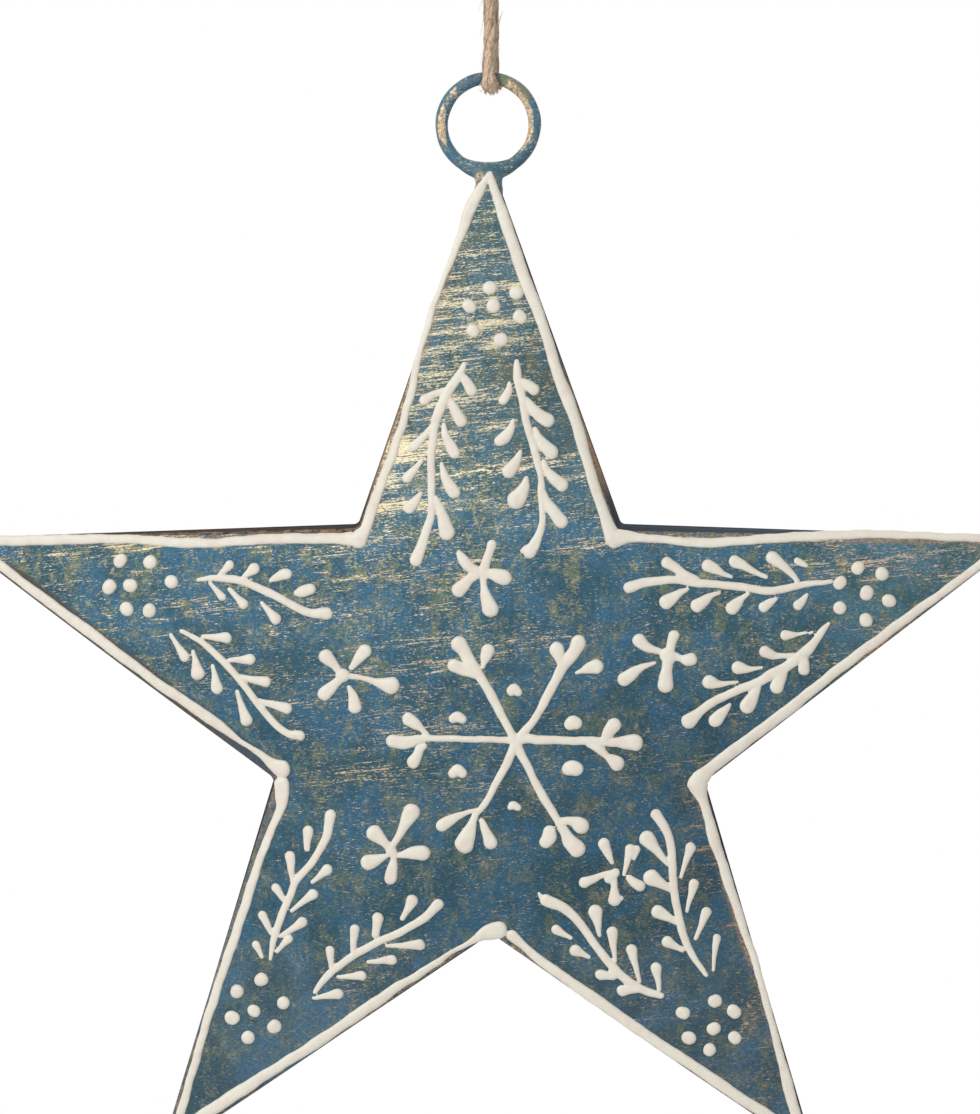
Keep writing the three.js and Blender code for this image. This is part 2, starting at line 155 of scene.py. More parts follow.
class StarColours(bpy.types.PropertyGroup):
    """Colours of the paint, the metal and the twine."""

    blue: bpy.props.FloatVectorProperty(
        name="Blue", description="Main paint", subtype="COLOR", size=4, default=srgb(55, 98, 123))
    teal: bpy.props.FloatVectorProperty(
        name="Teal", description="Darker patches of the paint", subtype="COLOR", size=4,
        default=srgb(47, 80, 92))
    olive: bpy.props.FloatVectorProperty(
        name="Olive", description="Rubbed patches", subtype="COLOR", size=4, default=srgb(107, 118, 92))
    gold: bpy.props.FloatVectorProperty(
        name="Pale gold", description="Scratches", subtype="COLOR", size=4, default=srgb(224, 206, 166))
    copper: bpy.props.FloatVectorProperty(
        name="Copper", description="Worn edges", subtype="COLOR", size=4, default=srgb(186, 150, 114))
    # The side walls' near-black is partly the dark metal and partly painted shade
    wall: bpy.props.FloatVectorProperty(
        name="Side wall", description="Dark side walls", subtype="COLOR", size=4, default=srgb(26, 28, 30))
    cream: bpy.props.FloatVectorProperty(
        name="Cream", description="Raised paint", subtype="COLOR", size=4, default=srgb(234, 229, 214))
    blush: bpy.props.FloatVectorProperty(
        name="Blush", description="Warm patches of the raised paint", subtype="COLOR", size=4,
        default=srgb(232, 221, 207))
    jute: bpy.props.FloatVectorProperty(
        name="Jute", description="Light fibres", subtype="COLOR", size=4, default=srgb(222, 198, 170))
    bark: bpy.props.FloatVectorProperty(
        name="Bark", description="Dark fibres", subtype="COLOR", size=4, default=srgb(150, 112, 80))


# Tones that belong to one effect each
WARM_SCRATCH = srgb(184, 150, 124)
RUSTY_SCRATCH = srgb(196, 134, 92)
LEMON_SCRATCH = srgb(226, 217, 164)
PALE_SPECK = srgb(176, 188, 184)
# A dark grey-brown and a dark grey-blue for the strip along the left arm's lower edge
DARK_GREY_BROWN = srgb(82, 76, 70)
DARK_GREY_BLUE = srgb(58, 78, 96)
DARK_TIN = srgb(74, 66, 60)
WALL_TEAL = srgb(36, 54, 66)
WALL_BROWN = srgb(92, 80, 68)
# Painted light: the slate of the right arm's walls, which face up into the light
LIT_WALL_SLATE = srgb(38, 56, 70)
# Umber for the upper left walls: partly their own colour, partly painted light
WALL_UMBER = srgb(66, 56, 48)
DARK_BRASS = srgb(116, 102, 74)
LIGHT_BRASS = srgb(238, 208, 168)
GREEN_TARNISH = srgb(96, 108, 96)
TAN_TARNISH = srgb(158, 150, 116)


def sizes():
    return bpy.context.scene.tin_star_sizes


def colours():
    return bpy.context.scene.tin_star_colours


def by_detail(full):
    return full


# The form of the faces

def face_depth(x, z):
    """How far the front face stands in front of the seam, in millimetres, at star places in millimetres."""
    size = sizes()
    radius = np.hypot(x, z)
    turn = np.arctan2(x, z)
    mean = (1 / TIP_REACH + 1 / NOTCH_REACH) / 2
    swing = (1 / NOTCH_REACH - 1 / TIP_REACH) / 2
    share = radius * (mean - swing * np.cos(5 * turn))
    lens = np.clip(1 - (radius / TIP_REACH) ** 2, 0, None)
    low = size.tip_depth / MM
    deep = size.middle_depth / MM
    dome = low + (deep - low) * lens * (1 - size.pillow * np.clip(share, 0, 1.2) ** 4)
    dents = np.sin(x / 9.1 + 1.3) * np.sin(z / 11.3 + 0.7)
    dents = dents + 0.6 * np.sin((x + z) / 5.3) * np.sin((x - z) / 6.1 + 2)
    return dome + size.dent / MM * dents * np.clip(lens * 2, 0, 1)


def paint_ground(x, z):
    """The depth that paint lies on: the face, and at the top tip the solder that runs over it."""
    over = np.clip((z - SOLDER_FROM) / SOLDER_FADE, 0, 1)
    over = over * np.clip((SOLDER_HALF - np.abs(x)) / SOLDER_FADE, 0, 1)
    return np.maximum(face_depth(x, z), SOLDER_DEPTH * over)


def star_corners():
    """The outline's tips and notches in turn: a point and its rounding, which is negative at a notch."""
    size = sizes()
    corners = []
    for tip, notch in zip(TIPS, NOTCHES):
        for (angle, distance), rounding in ((tip, size.tip_rounding), (notch, -size.notch_rounding)):
            turn = math.radians(angle)
            point = np.array([distance * math.cos(turn), distance * math.sin(turn)])
            corners.append((point, rounding / MM))
    return corners


def corner_arcs():
    """For each corner its start, end, centre, rounding, turn and the outward direction before it."""
    corners = star_corners()
    arcs = []
    for i, (here, rounding) in enumerate(corners):
        before = corners[i - 1][0]
        after = corners[(i + 1) % len(corners)][0]
        come = (here - before) / np.linalg.norm(here - before)
        leave = (after - here) / np.linalg.norm(after - here)
        turn = math.acos(float(np.clip(come @ leave, -1, 1)))
        reach = abs(rounding) * math.tan(turn / 2)
        out = np.array([-come[1], come[0]])
        start = here - come * reach
        arcs.append((start, here + leave * reach, start - out * rounding, rounding, turn, out))
    return arcs


def star_outline(step):
    """Even samples round the star's seam line: places, outward directions."""
    arcs = corner_arcs()
    places = []
    outs = []
    for arc, following in zip(arcs, arcs[1:] + arcs[:1]):
        _, end, centre, rounding, turn, out_before = arc
        steps = 10 if rounding > 0 else 8
        base = math.atan2(out_before[1], out_before[0])
        for k in range(steps + 1):
            angle = base - math.copysign(turn, rounding) * k / steps
            out = np.array([math.cos(angle), math.sin(angle)])
            places.append(centre + rounding * out)
            outs.append(out)
        way = following[0] - end
        pieces = max(2, int(np.linalg.norm(way) / step))
        for k in range(1, pieces):
            places.append(end + way * k / pieces)
            outs.append(following[-1])
    return np.array(places), np.array(outs)


# Meshes

def place(points):
    """Star millimetres (x, depth towards the back, z) to the model's metres."""
    return (np.asarray(points, float) + np.array([0, 0, STAR_Z])) * MM


def full_turn(count):
    """Even angles once round."""
    return [2 * math.pi * k / count for k in range(count)]


def mesh_object(name, vertices, faces, material, smooth=True):
    """A mesh from its points in metres and its faces, in the scene."""
    mesh = bpy.data.meshes.new(name)
    mesh.from_pydata([tuple(v) for v in vertices], [], [tuple(f) for f in faces])
    mesh.update()
    if smooth:
        mesh.shade_smooth()
    mesh.materials.append(material)
    thing = bpy.data.objects.new(name, mesh)
    bpy.context.scene.collection.objects.link(thing)
    return thing


def float_layer(thing, name, values):
    """A value at each of a mesh's points, for its material to read."""
    layer = thing.data.attributes.new(name, "FLOAT", "POINT")
    layer.data.foreach_set("value", np.asarray(values, np.float32))


def ring_faces(starts, count):
    """Quads between rings of the same number of points."""
    faces = []
    for a, b in zip(starts, starts[1:]):
        for i in range(count):
            j = (i + 1) % count
            faces.append((a + i, b + i, b + j, a + j))
    return faces


def tube_faces(rings, sides, closed=False):
    """Quads along a tube, with a lid on each end unless it closes on itself."""
    starts = [i * sides for i in range(rings)]
    if closed:
        return ring_faces(starts + starts[:1], sides)
    lids = [tuple(range(sides - 1, -1, -1)), tuple(starts[-1] + k for k in range(sides))]
    return ring_faces(starts, sides) + lids


def shell_mesh(name, side):
    """One pressed half: side wall, bend and domed face outside, even sheet inside; side 1 is the front."""
    size = sizes()
    outline, outs = star_outline(by_detail(0.8))
    count = len(outline)
    depth = face_depth(outline[:, 0], outline[:, 1])
    far = np.clip((TIP_REACH - np.hypot(outline[:, 0], outline[:, 1])) / UPRIGHT_REACH, 0, 1)
    upper = np.clip(outs[:, 1], 0, 1)
    lean = size.wall_lean * depth * far ** 1.3 * (0.65 + 0.7 * upper)
    bend = size.bend / MM
    sheet = size.sheet / MM
    rings = []
    rim = []

    def add(ring, heights, edge):
        rings.append(np.column_stack([ring[:, 0], -side * heights, ring[:, 1]]))
        rim.append(np.full(count, edge))

    def inset(distance):
        return outline - outs * np.broadcast_to(distance, count)[:, None]

    def on_dome(ring, lower=0.0):
        return face_depth(ring[:, 0], ring[:, 1]) - lower

    add(outline, np.full(count, SEAM_GAP), RIM_SEAM)
    for share in (0.3, 0.65, 1.0):
        height = SEAM_GAP + (depth - bend - SEAM_GAP) * share
        add(inset(lean * share), height, RIM_SEAM + share * (RIM_BEND - RIM_SEAM))
    wall_rings = len(rings) - 1
    for turn in (30, 60, 90):
        angle = math.radians(turn)
        edge = inset(lean + bend * (1 - math.cos(angle)))
        add(edge, on_dome(edge, bend * (1 - math.sin(angle))), turn / 90 * RIM_FACE)
    base = inset(lean + bend)
    for scale in 1 - np.linspace(0, 1, 34)[1:-1] ** 0.9:
        add(base * scale, on_dome(base * scale), (1 - scale) * RIM_MIDDLE + RIM_FACE)
    outer = len(rings)
    add(inset(sheet), np.full(count, SEAM_GAP), RIM_SEAM)
    inner = inset(lean + sheet)
    for scale in (1, 0.9, 0.75, 0.55, 0.35, 0.18):
        add(inner * scale, on_dome(inner * scale, sheet), 0.0)
    starts = [i * count for i in range(len(rings))]
    outer_faces = ring_faces(starts[:outer], count)
    inner_faces = ring_faces(starts[:1] + starts[outer:], count)
    middle = float(face_depth(np.array(0.0), np.array(0.0)))
    poles = np.array([[0, -side * middle, 0], [0, -side * (middle - sheet), 0]])
    pole = len(rings) * count
    for faces, last, tip in ((outer_faces, starts[outer - 1], pole), (inner_faces, starts[-1], pole + 1)):
        faces += [(last + i, tip, last + (i + 1) % count) for i in range(count)]
    flipped = outer_faces if side > 0 else inner_faces
    flipped[:] = [face[::-1] for face in flipped]
    thing = mesh_object(name, place(np.vstack(rings + [poles])), outer_faces + inner_faces, tin_material())
    thing.data.materials.append(wall_material())
    index = np.zeros(len(thing.data.polygons), np.int32)
    index[:wall_rings * count] = 1
    thing.data.polygons.foreach_set("material_index", index)
    float_layer(thing, "rim", np.concatenate(rim + [np.array([RIM_MIDDLE, 0.0])]))
    return thing


# Raised paint, as height over the face on a fine grid, all in millimetres

# What is added to a stroke's half width, and how softly two strokes run together
SPREAD = 0.03
JOIN = 0.12

# Height of the grid where no stroke reaches, and a height that only such places are under
OFF = -9.0
NEARLY_OFF = -5

# How deep the paint reaches into the sheet, and how far its middle stands over the face
SUNK = -0.34
HALF_PROUD = 0.3

# The grid's outermost points move onto the paint's edge: the least slope reckoned with, and the most steps
LEAST_SLOPE = 0.4
EDGE_STEPS = 1.4


def camera_axes():
    """The camera's place in the model's metres, and its right, up and back directions."""
    azimuth = math.radians(CAMERA_AZIMUTH)
    elevation = math.radians(CAMERA_ELEVATION)
    back = Vector((math.sin(azimuth) * math.cos(elevation),
                   -math.cos(azimuth) * math.cos(elevation), math.sin(elevation)))
    target = Vector((CAMERA_TARGET[0] * MM, 0, CAMERA_TARGET[1] * MM))
    return target + back * CAMERA_DISTANCE, (-back).to_track_quat("-Z", "Y").to_matrix()


def on_face(px, py):
    """The star place, in millimetres, that shows at a pixel of the photograph."""
    eye, turned = camera_axes()
    step = SENSOR_WIDTH / CAMERA_LENS / PHOTO_HEIGHT
    ray = turned @ Vector(((px - PHOTO_WIDTH / 2) * step, (PHOTO_HEIGHT / 2 - py) * step, -1))
    depth = 0.0
    for _ in range(5):
        reach = (-depth * MM - eye.y) / ray.y
        x = (eye.x + ray.x * reach) / MM
        z = (eye.z + ray.z * reach) / MM - STAR_Z
        depth = float(paint_ground(np.array(x), np.array(z))) + HALF_PROUD
    return x, z


def on_star(strokes):
    """Strokes in pixels to strokes in star millimetres, smoothed."""
    made = []
    for stroke in strokes:
        line = smooth_line(stroke, 4)
        made.append(np.array([(*on_face(px, py), radius * PIXEL_MM + SPREAD) for px, py, radius in line]))
    return made


def drop(root, end, bulb, thin=1.9):
    """A drop-shaped stroke in pixels, thin at its root and round at its end."""
    root = np.array(root, float)
    end = np.array(end, float)
    length = np.linalg.norm(end - root)
    way = (end - root) / length
    reach = max(length - bulb, 1.0)
    stroke = []
    for share in (0, 0.2, 0.4, 0.6, 0.8, 1.0):
        radius = thin + (bulb - thin) * (0.35 * share + 0.65 * share ** 2)
        stroke.append((*(root + way * reach * share), radius))
    return stroke


def stem(points, first, middle, last):
    """A stem in pixels, with its half width at the start, along the middle and at the end."""
    shares = np.linspace(0, 1, len(points))
    widths = np.interp(shares, [0, 0.2, 0.82, 1], [first, middle, middle, last])
    return [(x, y, width) for (x, y), width in zip(points, widths)]


def smooth_line(points, pieces=6):
    """A Catmull-Rom curve through points of any number of values."""
    points = np.array(points, float)
    if len(points) < 3:
        return points
    padded = np.vstack([2 * points[0] - points[1], points, 2 * points[-1] - points[-2]])
    line = []
    for i in range(1, len(padded) - 2):
        a, b, c, d = padded[i - 1:i + 3]
        for k in range(pieces):
            t = k / pieces
            line.append(0.5 * ((2 * b) + (c - a) * t + (2 * a - 5 * b + 4 * c - d) * t ** 2
                               + (3 * b - a - 3 * c + d) * t ** 3))
    line.append(padded[-2])
    return np.array(line)


def bead_height(share, radius):
    """Height of a bead of paint at a share of its half width; outside it the skirt dives into the sheet."""
    rise = 0.56 * radius / (1 + 0.2 * radius)
    inside = rise * np.clip(1 - share ** 2.4, 0, None) ** 0.55
    return np.where(share < 1, inside, (1 - share) * radius * 1.6)


def grid_span(low, high, start, step, first, last):
    """The grid lines that reach from low to high and lie between first and last, counted from first."""
    begin = max(int((low - start) / step) - first, 0)
    return begin, min(int((high - start) / step) + 2 - first, last - first)


def stroke_heights(stroke, x0, z0, step, shape):
    """One stroke's height on the part of the grid that it covers, with the rows and columns of that part."""
    reach = stroke[:, 2].max() + 0.6
    low = stroke.min(axis=0) - reach
    high = stroke.max(axis=0) + reach
    i0, i1 = grid_span(low[0], high[0], x0, step, 0, shape[1])
    j0, j1 = grid_span(low[1], high[1], z0, step, 0, shape[0])
    own = np.full((j1 - j0, i1 - i0), OFF)
    for (ax, az, ar), (bx, bz, br) in zip(stroke, stroke[1:]):
        reach = max(ar, br) + 0.5
        a0, a1 = grid_span(min(ax, bx) - reach, max(ax, bx) + reach, x0, step, i0, i1)
        b0, b1 = grid_span(min(az, bz) - reach, max(az, bz) + reach, z0, step, j0, j1)
        if a1 <= a0 or b1 <= b0:
            continue
        gx, gz = np.meshgrid(x0 + (i0 + np.arange(a0, a1)) * step, z0 + (j0 + np.arange(b0, b1)) * step)
        gx, gz = (gx + 0.05 * np.sin(gz * 0.9 + 0.4 * gx) + 0.02 * np.sin(gz * 2.3 + 1.0),
                  gz + 0.05 * np.sin(gx * 1.0 + 0.3 * gz) + 0.02 * np.sin(gx * 2.7 + 2.0))
        length = max((bx - ax) ** 2 + (bz - az) ** 2, 1e-9)
        t = np.clip(((gx - ax) * (bx - ax) + (gz - az) * (bz - az)) / length, 0, 1)
        radius = ar + (br - ar) * t
        away = np.hypot(gx - ax - t * (bx - ax), gz - az - t * (bz - az))
        local = own[b0:b1, a0:a1]
        np.maximum(local, bead_height(away / radius, radius), out=local)
    return own, slice(j0, j1), slice(i0, i1)


def paint_grid(strokes, step):
    """The grid's places and the height of all strokes on it, each running softly into the next."""
    every = np.vstack(strokes)
    margin = every[:, 2].max() + 0.6
    x0, z0 = every.min(axis=0)[:2] - margin
    x1, z1 = every.max(axis=0)[:2] + margin
    wide = int((x1 - x0) / step) + 2
    high = int((z1 - z0) / step) + 2
    field = np.full((high, wide), OFF)
    for stroke in strokes:
        own, rows, columns = stroke_heights(stroke, x0, z0, step, field.shape)
        view = field[rows, columns]
        blend = np.clip(0.5 + 0.5 * (own - view) / JOIN, 0, 1)
        blend = np.where(view < NEARLY_OFF, 1, np.where(own < NEARLY_OFF, 0, blend))
        both = (view > NEARLY_OFF) * (own > NEARLY_OFF)
        soft = JOIN * np.clip(np.maximum(view, own) / 0.15, 0, 1) * both
        mixed = view + (own - view) * blend + soft * blend * (1 - blend)
        view[:, :] = np.maximum(mixed, np.maximum(view, own))
    gx, gz = np.meshgrid(x0 + np.arange(wide) * step, z0 + np.arange(high) * step)
    return gx, gz, field


def paint_mesh(name, strokes):
    """Raised paint from strokes in pixels, with its underside sunk into the sheet."""
    step = sizes().paint_step / MM * by_detail(1)
    gx, gz, field = paint_grid(on_star(strokes), step)
    ripple = 0.02 * np.sin(gx * 2.1 + 1.7 * np.sin(gz * 0.9))
    ripple = ripple + 0.02 * np.sin(gz * 2.7 + 1.3 * np.sin(gx * 1.1))
    down, across = np.gradient(field, step)
    steep = np.maximum(np.hypot(down, across), LEAST_SLOPE)
    away = np.clip(-field / steep, 0, EDGE_STEPS * step) / steep
    gx = np.where(field < 0, gx + across * away, gx)
    gz = np.where(field < 0, gz + down * away, gz)
    field = np.where(field > 0, field + ripple * np.clip(field * 3, 0, 1), 0)
    highest = np.maximum(field[:-1], field[1:])
    rows, columns = np.nonzero(np.maximum(highest[:, :-1], highest[:, 1:]) > 0)
    wide = field.shape[1]
    corner = rows * wide + columns
    quads = np.column_stack([corner, corner + 1, corner + wide + 1, corner + wide])
    used, flat = np.unique(quads, return_inverse=True)
    quads = flat.reshape(quads.shape)
    x = gx.ravel()[used]
    z = gz.ravel()[used]
    ground = paint_ground(x, z)
    top = np.column_stack([x, -(ground + field.ravel()[used]), z])
    under = np.column_stack([x, -(ground + SUNK), z])
    total = len(used)
    edges = np.vstack([quads[:, [0, 1]], quads[:, [1, 2]], quads[:, [2, 3]], quads[:, [3, 0]]])
    keys = np.sort(edges, axis=1) @ np.array([total, 1])
    _, first, times = np.unique(keys, return_index=True, return_counts=True)
    rim = edges[first[times == 1]]
    walls = np.column_stack([rim[:, 1], rim[:, 0], rim[:, 0] + total, rim[:, 1] + total])
    faces = np.vstack([quads, quads[:, ::-1] + total, walls])
    return mesh_object(name, place(np.vstack([top, under])), faces.tolist(), cream_material())


# Node helpers

class Signal:
    """The output of a node, on which sums can be written as on a plain number."""

    def __init__(self, socket):
        self.socket = socket
        self.tree = socket.id_data

    def __add__(self, other):
        return math_node("ADD", self, other)

    def __sub__(self, other):
        return math_node("SUBTRACT", self, other)

    def __rsub__(self, other):
        return math_node("SUBTRACT", other, self)

    def __mul__(self, other):
        return math_node("MULTIPLY", self, other)


def fill(socket, value):
    """Sets a node's input, or links it to another node's output."""
    if isinstance(value, Signal):
        value.tree.links.new(value.socket, socket)
    else:
        socket.default_value = value


def add_node(tree, kind, values=None, **settings):
    """A new node with its settings and with its inputs set or linked."""
    made = tree.nodes.new(kind)
    for name, value in settings.items():
        setattr(made, name, value)
    for name, value in (values or {}).items():
        fill(made.inputs[name], value)
    return made


def math_node(operation, a, b):
    """A sum of two values, at least one of which comes from a node."""
    tree = a.tree if isinstance(a, Signal) else b.tree
    return Signal(add_node(tree, "ShaderNodeMath", {0: a, 1: b}, operation=operation).outputs[0])


def larger(a, b):
    return math_node("MAXIMUM", a, b)


def limited(value):
    """The same sum, kept between 0 and 1."""
    value.socket.node.use_clamp = True
    return value


def ramp(value, low, high):
    """A mask that rises from 0 at low to 1 at high."""
    made = add_node(value.tree, "ShaderNodeMapRange", {"Value": value, "From Min": low, "From Max": high},
                    interpolation_type="SMOOTHSTEP")
    return Signal(made.outputs["Result"])


def mapped(vector, scale, slope=0.0):
    """A place stretched by three factors and turned about the depth by an angle."""
    made = add_node(vector.tree, "ShaderNodeMapping", {
        "Vector": vector, "Scale": scale, "Rotation": (0, slope, 0)})
    return Signal(made.outputs["Vector"])


def noise(vector, scale, detail, rough, warp=0.0):
    """Noise of one scale, or of one scale for each direction."""
    if isinstance(scale, tuple):
        vector = mapped(vector, scale)
        scale = 1.0
    made = add_node(vector.tree, "ShaderNodeTexNoise", {
        "Vector": vector, "Scale": scale, "Detail": detail, "Roughness": rough, "Distortion": warp})
    return Signal(made.outputs["Fac"])


def cells(vector, scale):
    """A scatter of one point to a cell: the distance to the nearest, and that one's own colour."""
    made = add_node(vector.tree, "ShaderNodeTexVoronoi", {
        "Vector": vector, "Scale": scale, "Randomness": 1.0})
    return Signal(made.outputs["Distance"]), Signal(made.outputs["Color"])


def mix(share, a, b):
    """The colour a, passing into b as share rises; a share that doesn't vary needs an a that does."""
    tree = share.tree if isinstance(share, Signal) else a.tree
    return Signal(add_node(tree, "ShaderNodeMix", {0: share, 6: a, 7: b}, data_type="RGBA").outputs[2])


def tinted(colour, value, saturation=1.0, hue=0.5):
    """The colour made lighter or darker, duller, or turned in hue."""
    made = add_node(colour.tree, "ShaderNodeHueSaturation", {
        "Color": colour, "Value": value, "Saturation": saturation, "Hue": hue})
    return Signal(made.outputs["Color"])


def layer_value(tree, name):
    """A mesh's own value at each point."""
    return Signal(add_node(tree, "ShaderNodeAttribute", attribute_name=name).outputs["Fac"])


def in_mm(vector):
    """A place in metres, in millimetres."""
    made = add_node(vector.tree, "ShaderNodeVectorMath", {0: vector, "Scale": 1000}, operation="SCALE")
    return Signal(made.outputs["Vector"])


def object_place(tree):
    """The place on the object in metres, and the same in millimetres."""
    where = Signal(tree.nodes.new("ShaderNodeTexCoord").outputs["Object"])
    return where, in_mm(where)


def star_place(where):
    """How far a place lies across and up from the star's middle, in millimetres."""
    apart = add_node(where.tree, "ShaderNodeSeparateXYZ", {0: where}).outputs
    return Signal(apart["X"]) * 1000, Signal(apart["Z"]) * 1000 - STAR_Z


def material_of(name, add_nodes):
    """The material of that name, given its nodes when it is first asked for."""
    if name not in bpy.data.materials:
        material = bpy.data.materials.new(name)
        material.use_nodes = True
        material.node_tree.nodes.clear()
        add_nodes(material.node_tree)
    return bpy.data.materials[name]


def principled(tree, colour, rough, metal=0.0, bump=None, depth_mm=0.1, strength=0.3):
    """Adds the shader and the output to a material's tree, with a bump where one is given."""
    shader = add_node(tree, "ShaderNodeBsdfPrincipled", {
        "Base Color": colour, "Roughness": rough, "Metallic": metal})
    add_node(tree, "ShaderNodeOutputMaterial", {"Surface": Signal(shader.outputs["BSDF"])})
    if bump is not None:
        made = add_node(tree, "ShaderNodeBump", {
            "Height": bump, "Strength": strength, "Distance": depth_mm * MM})
        fill(shader.inputs["Normal"], Signal(made.outputs["Normal"]))
    return shader


# Materials

def worn_paint_group():
    """Blue paint rubbed through: patches, olive mottling, slanting pale scratches and fine specks."""
    name = "Worn Paint"
    if name in bpy.data.node_groups:
        return bpy.data.node_groups[name]
    tree = bpy.data.node_groups.new(name, "ShaderNodeTree")
    for way, kind, labels in (
            ("INPUT", "NodeSocketVector", ("Vector",)),
            ("INPUT", "NodeSocketColor", ("Paint", "Patch", "Mottle", "Scratch")),
            ("INPUT", "NodeSocketFloat", ("Mottle Amount", "Scratch Amount", "Speck Amount")),
            ("OUTPUT", "NodeSocketColor", ("Color",)),
            ("OUTPUT", "NodeSocketFloat", ("Roughness", "Height"))):
        for label in labels:
            tree.interface.new_socket(name=label, in_out=way, socket_type=kind)
    given = {socket.name: Signal(socket) for socket in tree.nodes.new("NodeGroupInput").outputs}
    end = tree.nodes.new("NodeGroupOutput").inputs
    here = in_mm(given["Vector"])
    slant = mapped(here, (1, 1, 1), math.radians(6.5))
    patches = ramp(noise(here, 0.1, 4, 0.6, 0.3), 0.4, 0.62)
    colour = mix(patches * 0.8, given["Paint"], given["Patch"])

    clouds = noise(here, (0.34, 0.3, 0.24), 6, 0.68, 0.4)
    crumbs = noise(here, (1.7, 1.7, 2.6), 4, 0.8)
    cloud_mask = limited(ramp(clouds + crumbs * 0.8, 0.9, 1.02) * given["Mottle Amount"])
    warm = ramp(noise(here, 0.55, 4, 0.75), 0.5, 0.66)
    colour = mix(cloud_mask, colour, mix(warm * 0.5, given["Mottle"], given["Scratch"]))

    dashes = noise(slant, (0.26, 0.26, 4.8), 4, 0.66, 0.05)
    bands = noise(slant, (0.03, 0.05, 0.4), 5, 0.68)
    fine = noise(slant, (2.2, 2.2, 5.0), 2, 0.6)
    lines = dashes + bands + fine * 0.55 + given["Scratch Amount"] * 0.22
    ticks = noise(slant, (0.95, 0.95, 6.6), 2, 0.6) + noise(here, 0.13, 4, 0.7) * 0.4
    ticks = ticks + given["Scratch Amount"] * 0.05
    scratch = larger(ramp(lines, 1.585, 1.665), ramp(ticks, 0.885, 0.93))
    colour = mix(scratch * 0.95, colour, given["Scratch"])

    distance, own_colour = cells(mapped(slant, (1.0, 1.0, 3.3)), 1.0)
    chance = Signal(add_node(tree, "ShaderNodeSeparateColor", {0: own_colour}).outputs[0])
    chosen = ramp(noise(here, 0.3, 4, 0.7), 0.42, 0.56) * ramp(chance, 0.2, 1.0)
    specks = limited(ramp(distance, 0.3, 0.16) * chosen * given["Speck Amount"])
    colour = mix(specks, colour, mix(0.5, given["Scratch"], PALE_SPECK))

    flecks = ramp(noise(slant, (1.5, 1.5, 2.8), 3, 0.8), 0.34, 0.66)
    grain = noise(here, 3.6, 3, 0.75)
    fill(end["Color"], tinted(colour, flecks * 0.5 + grain * 0.5 + 0.5))
    fill(end["Roughness"], grain * 0.2 + 0.45 + cloud_mask * 0.15)
    fill(end["Height"], grain * 0.35 - scratch - cloud_mask * 0.4)
    return tree


def worn_paint(where, mottle, scratches, specks, scratch_colour):
    """The worn paint at a place: its colour, roughness and height."""
    colour = colours()
    made = where.tree.nodes.new("ShaderNodeGroup")
    made.node_tree = worn_paint_group()
    for label, value in (("Vector", where), ("Paint", colour.blue), ("Patch", colour.teal),
                         ("Mottle", colour.olive), ("Scratch", scratch_colour), ("Mottle Amount", mottle),
                         ("Scratch Amount", scratches), ("Speck Amount", specks)):
        fill(made.inputs[label], value)
    return [Signal(made.outputs[label]) for label in ("Color", "Roughness", "Height")]


def bare_metal(here):
    """Fine brown, tan and pale crumbs where the paint is gone from an edge."""
    fine = noise(here, 1.7, 4, 0.85)
    tan = mix(ramp(fine, 0.36, 0.56), DARK_TIN, colours().copper)
    return mix(ramp(fine, 0.58, 0.66), tan, colours().gold)


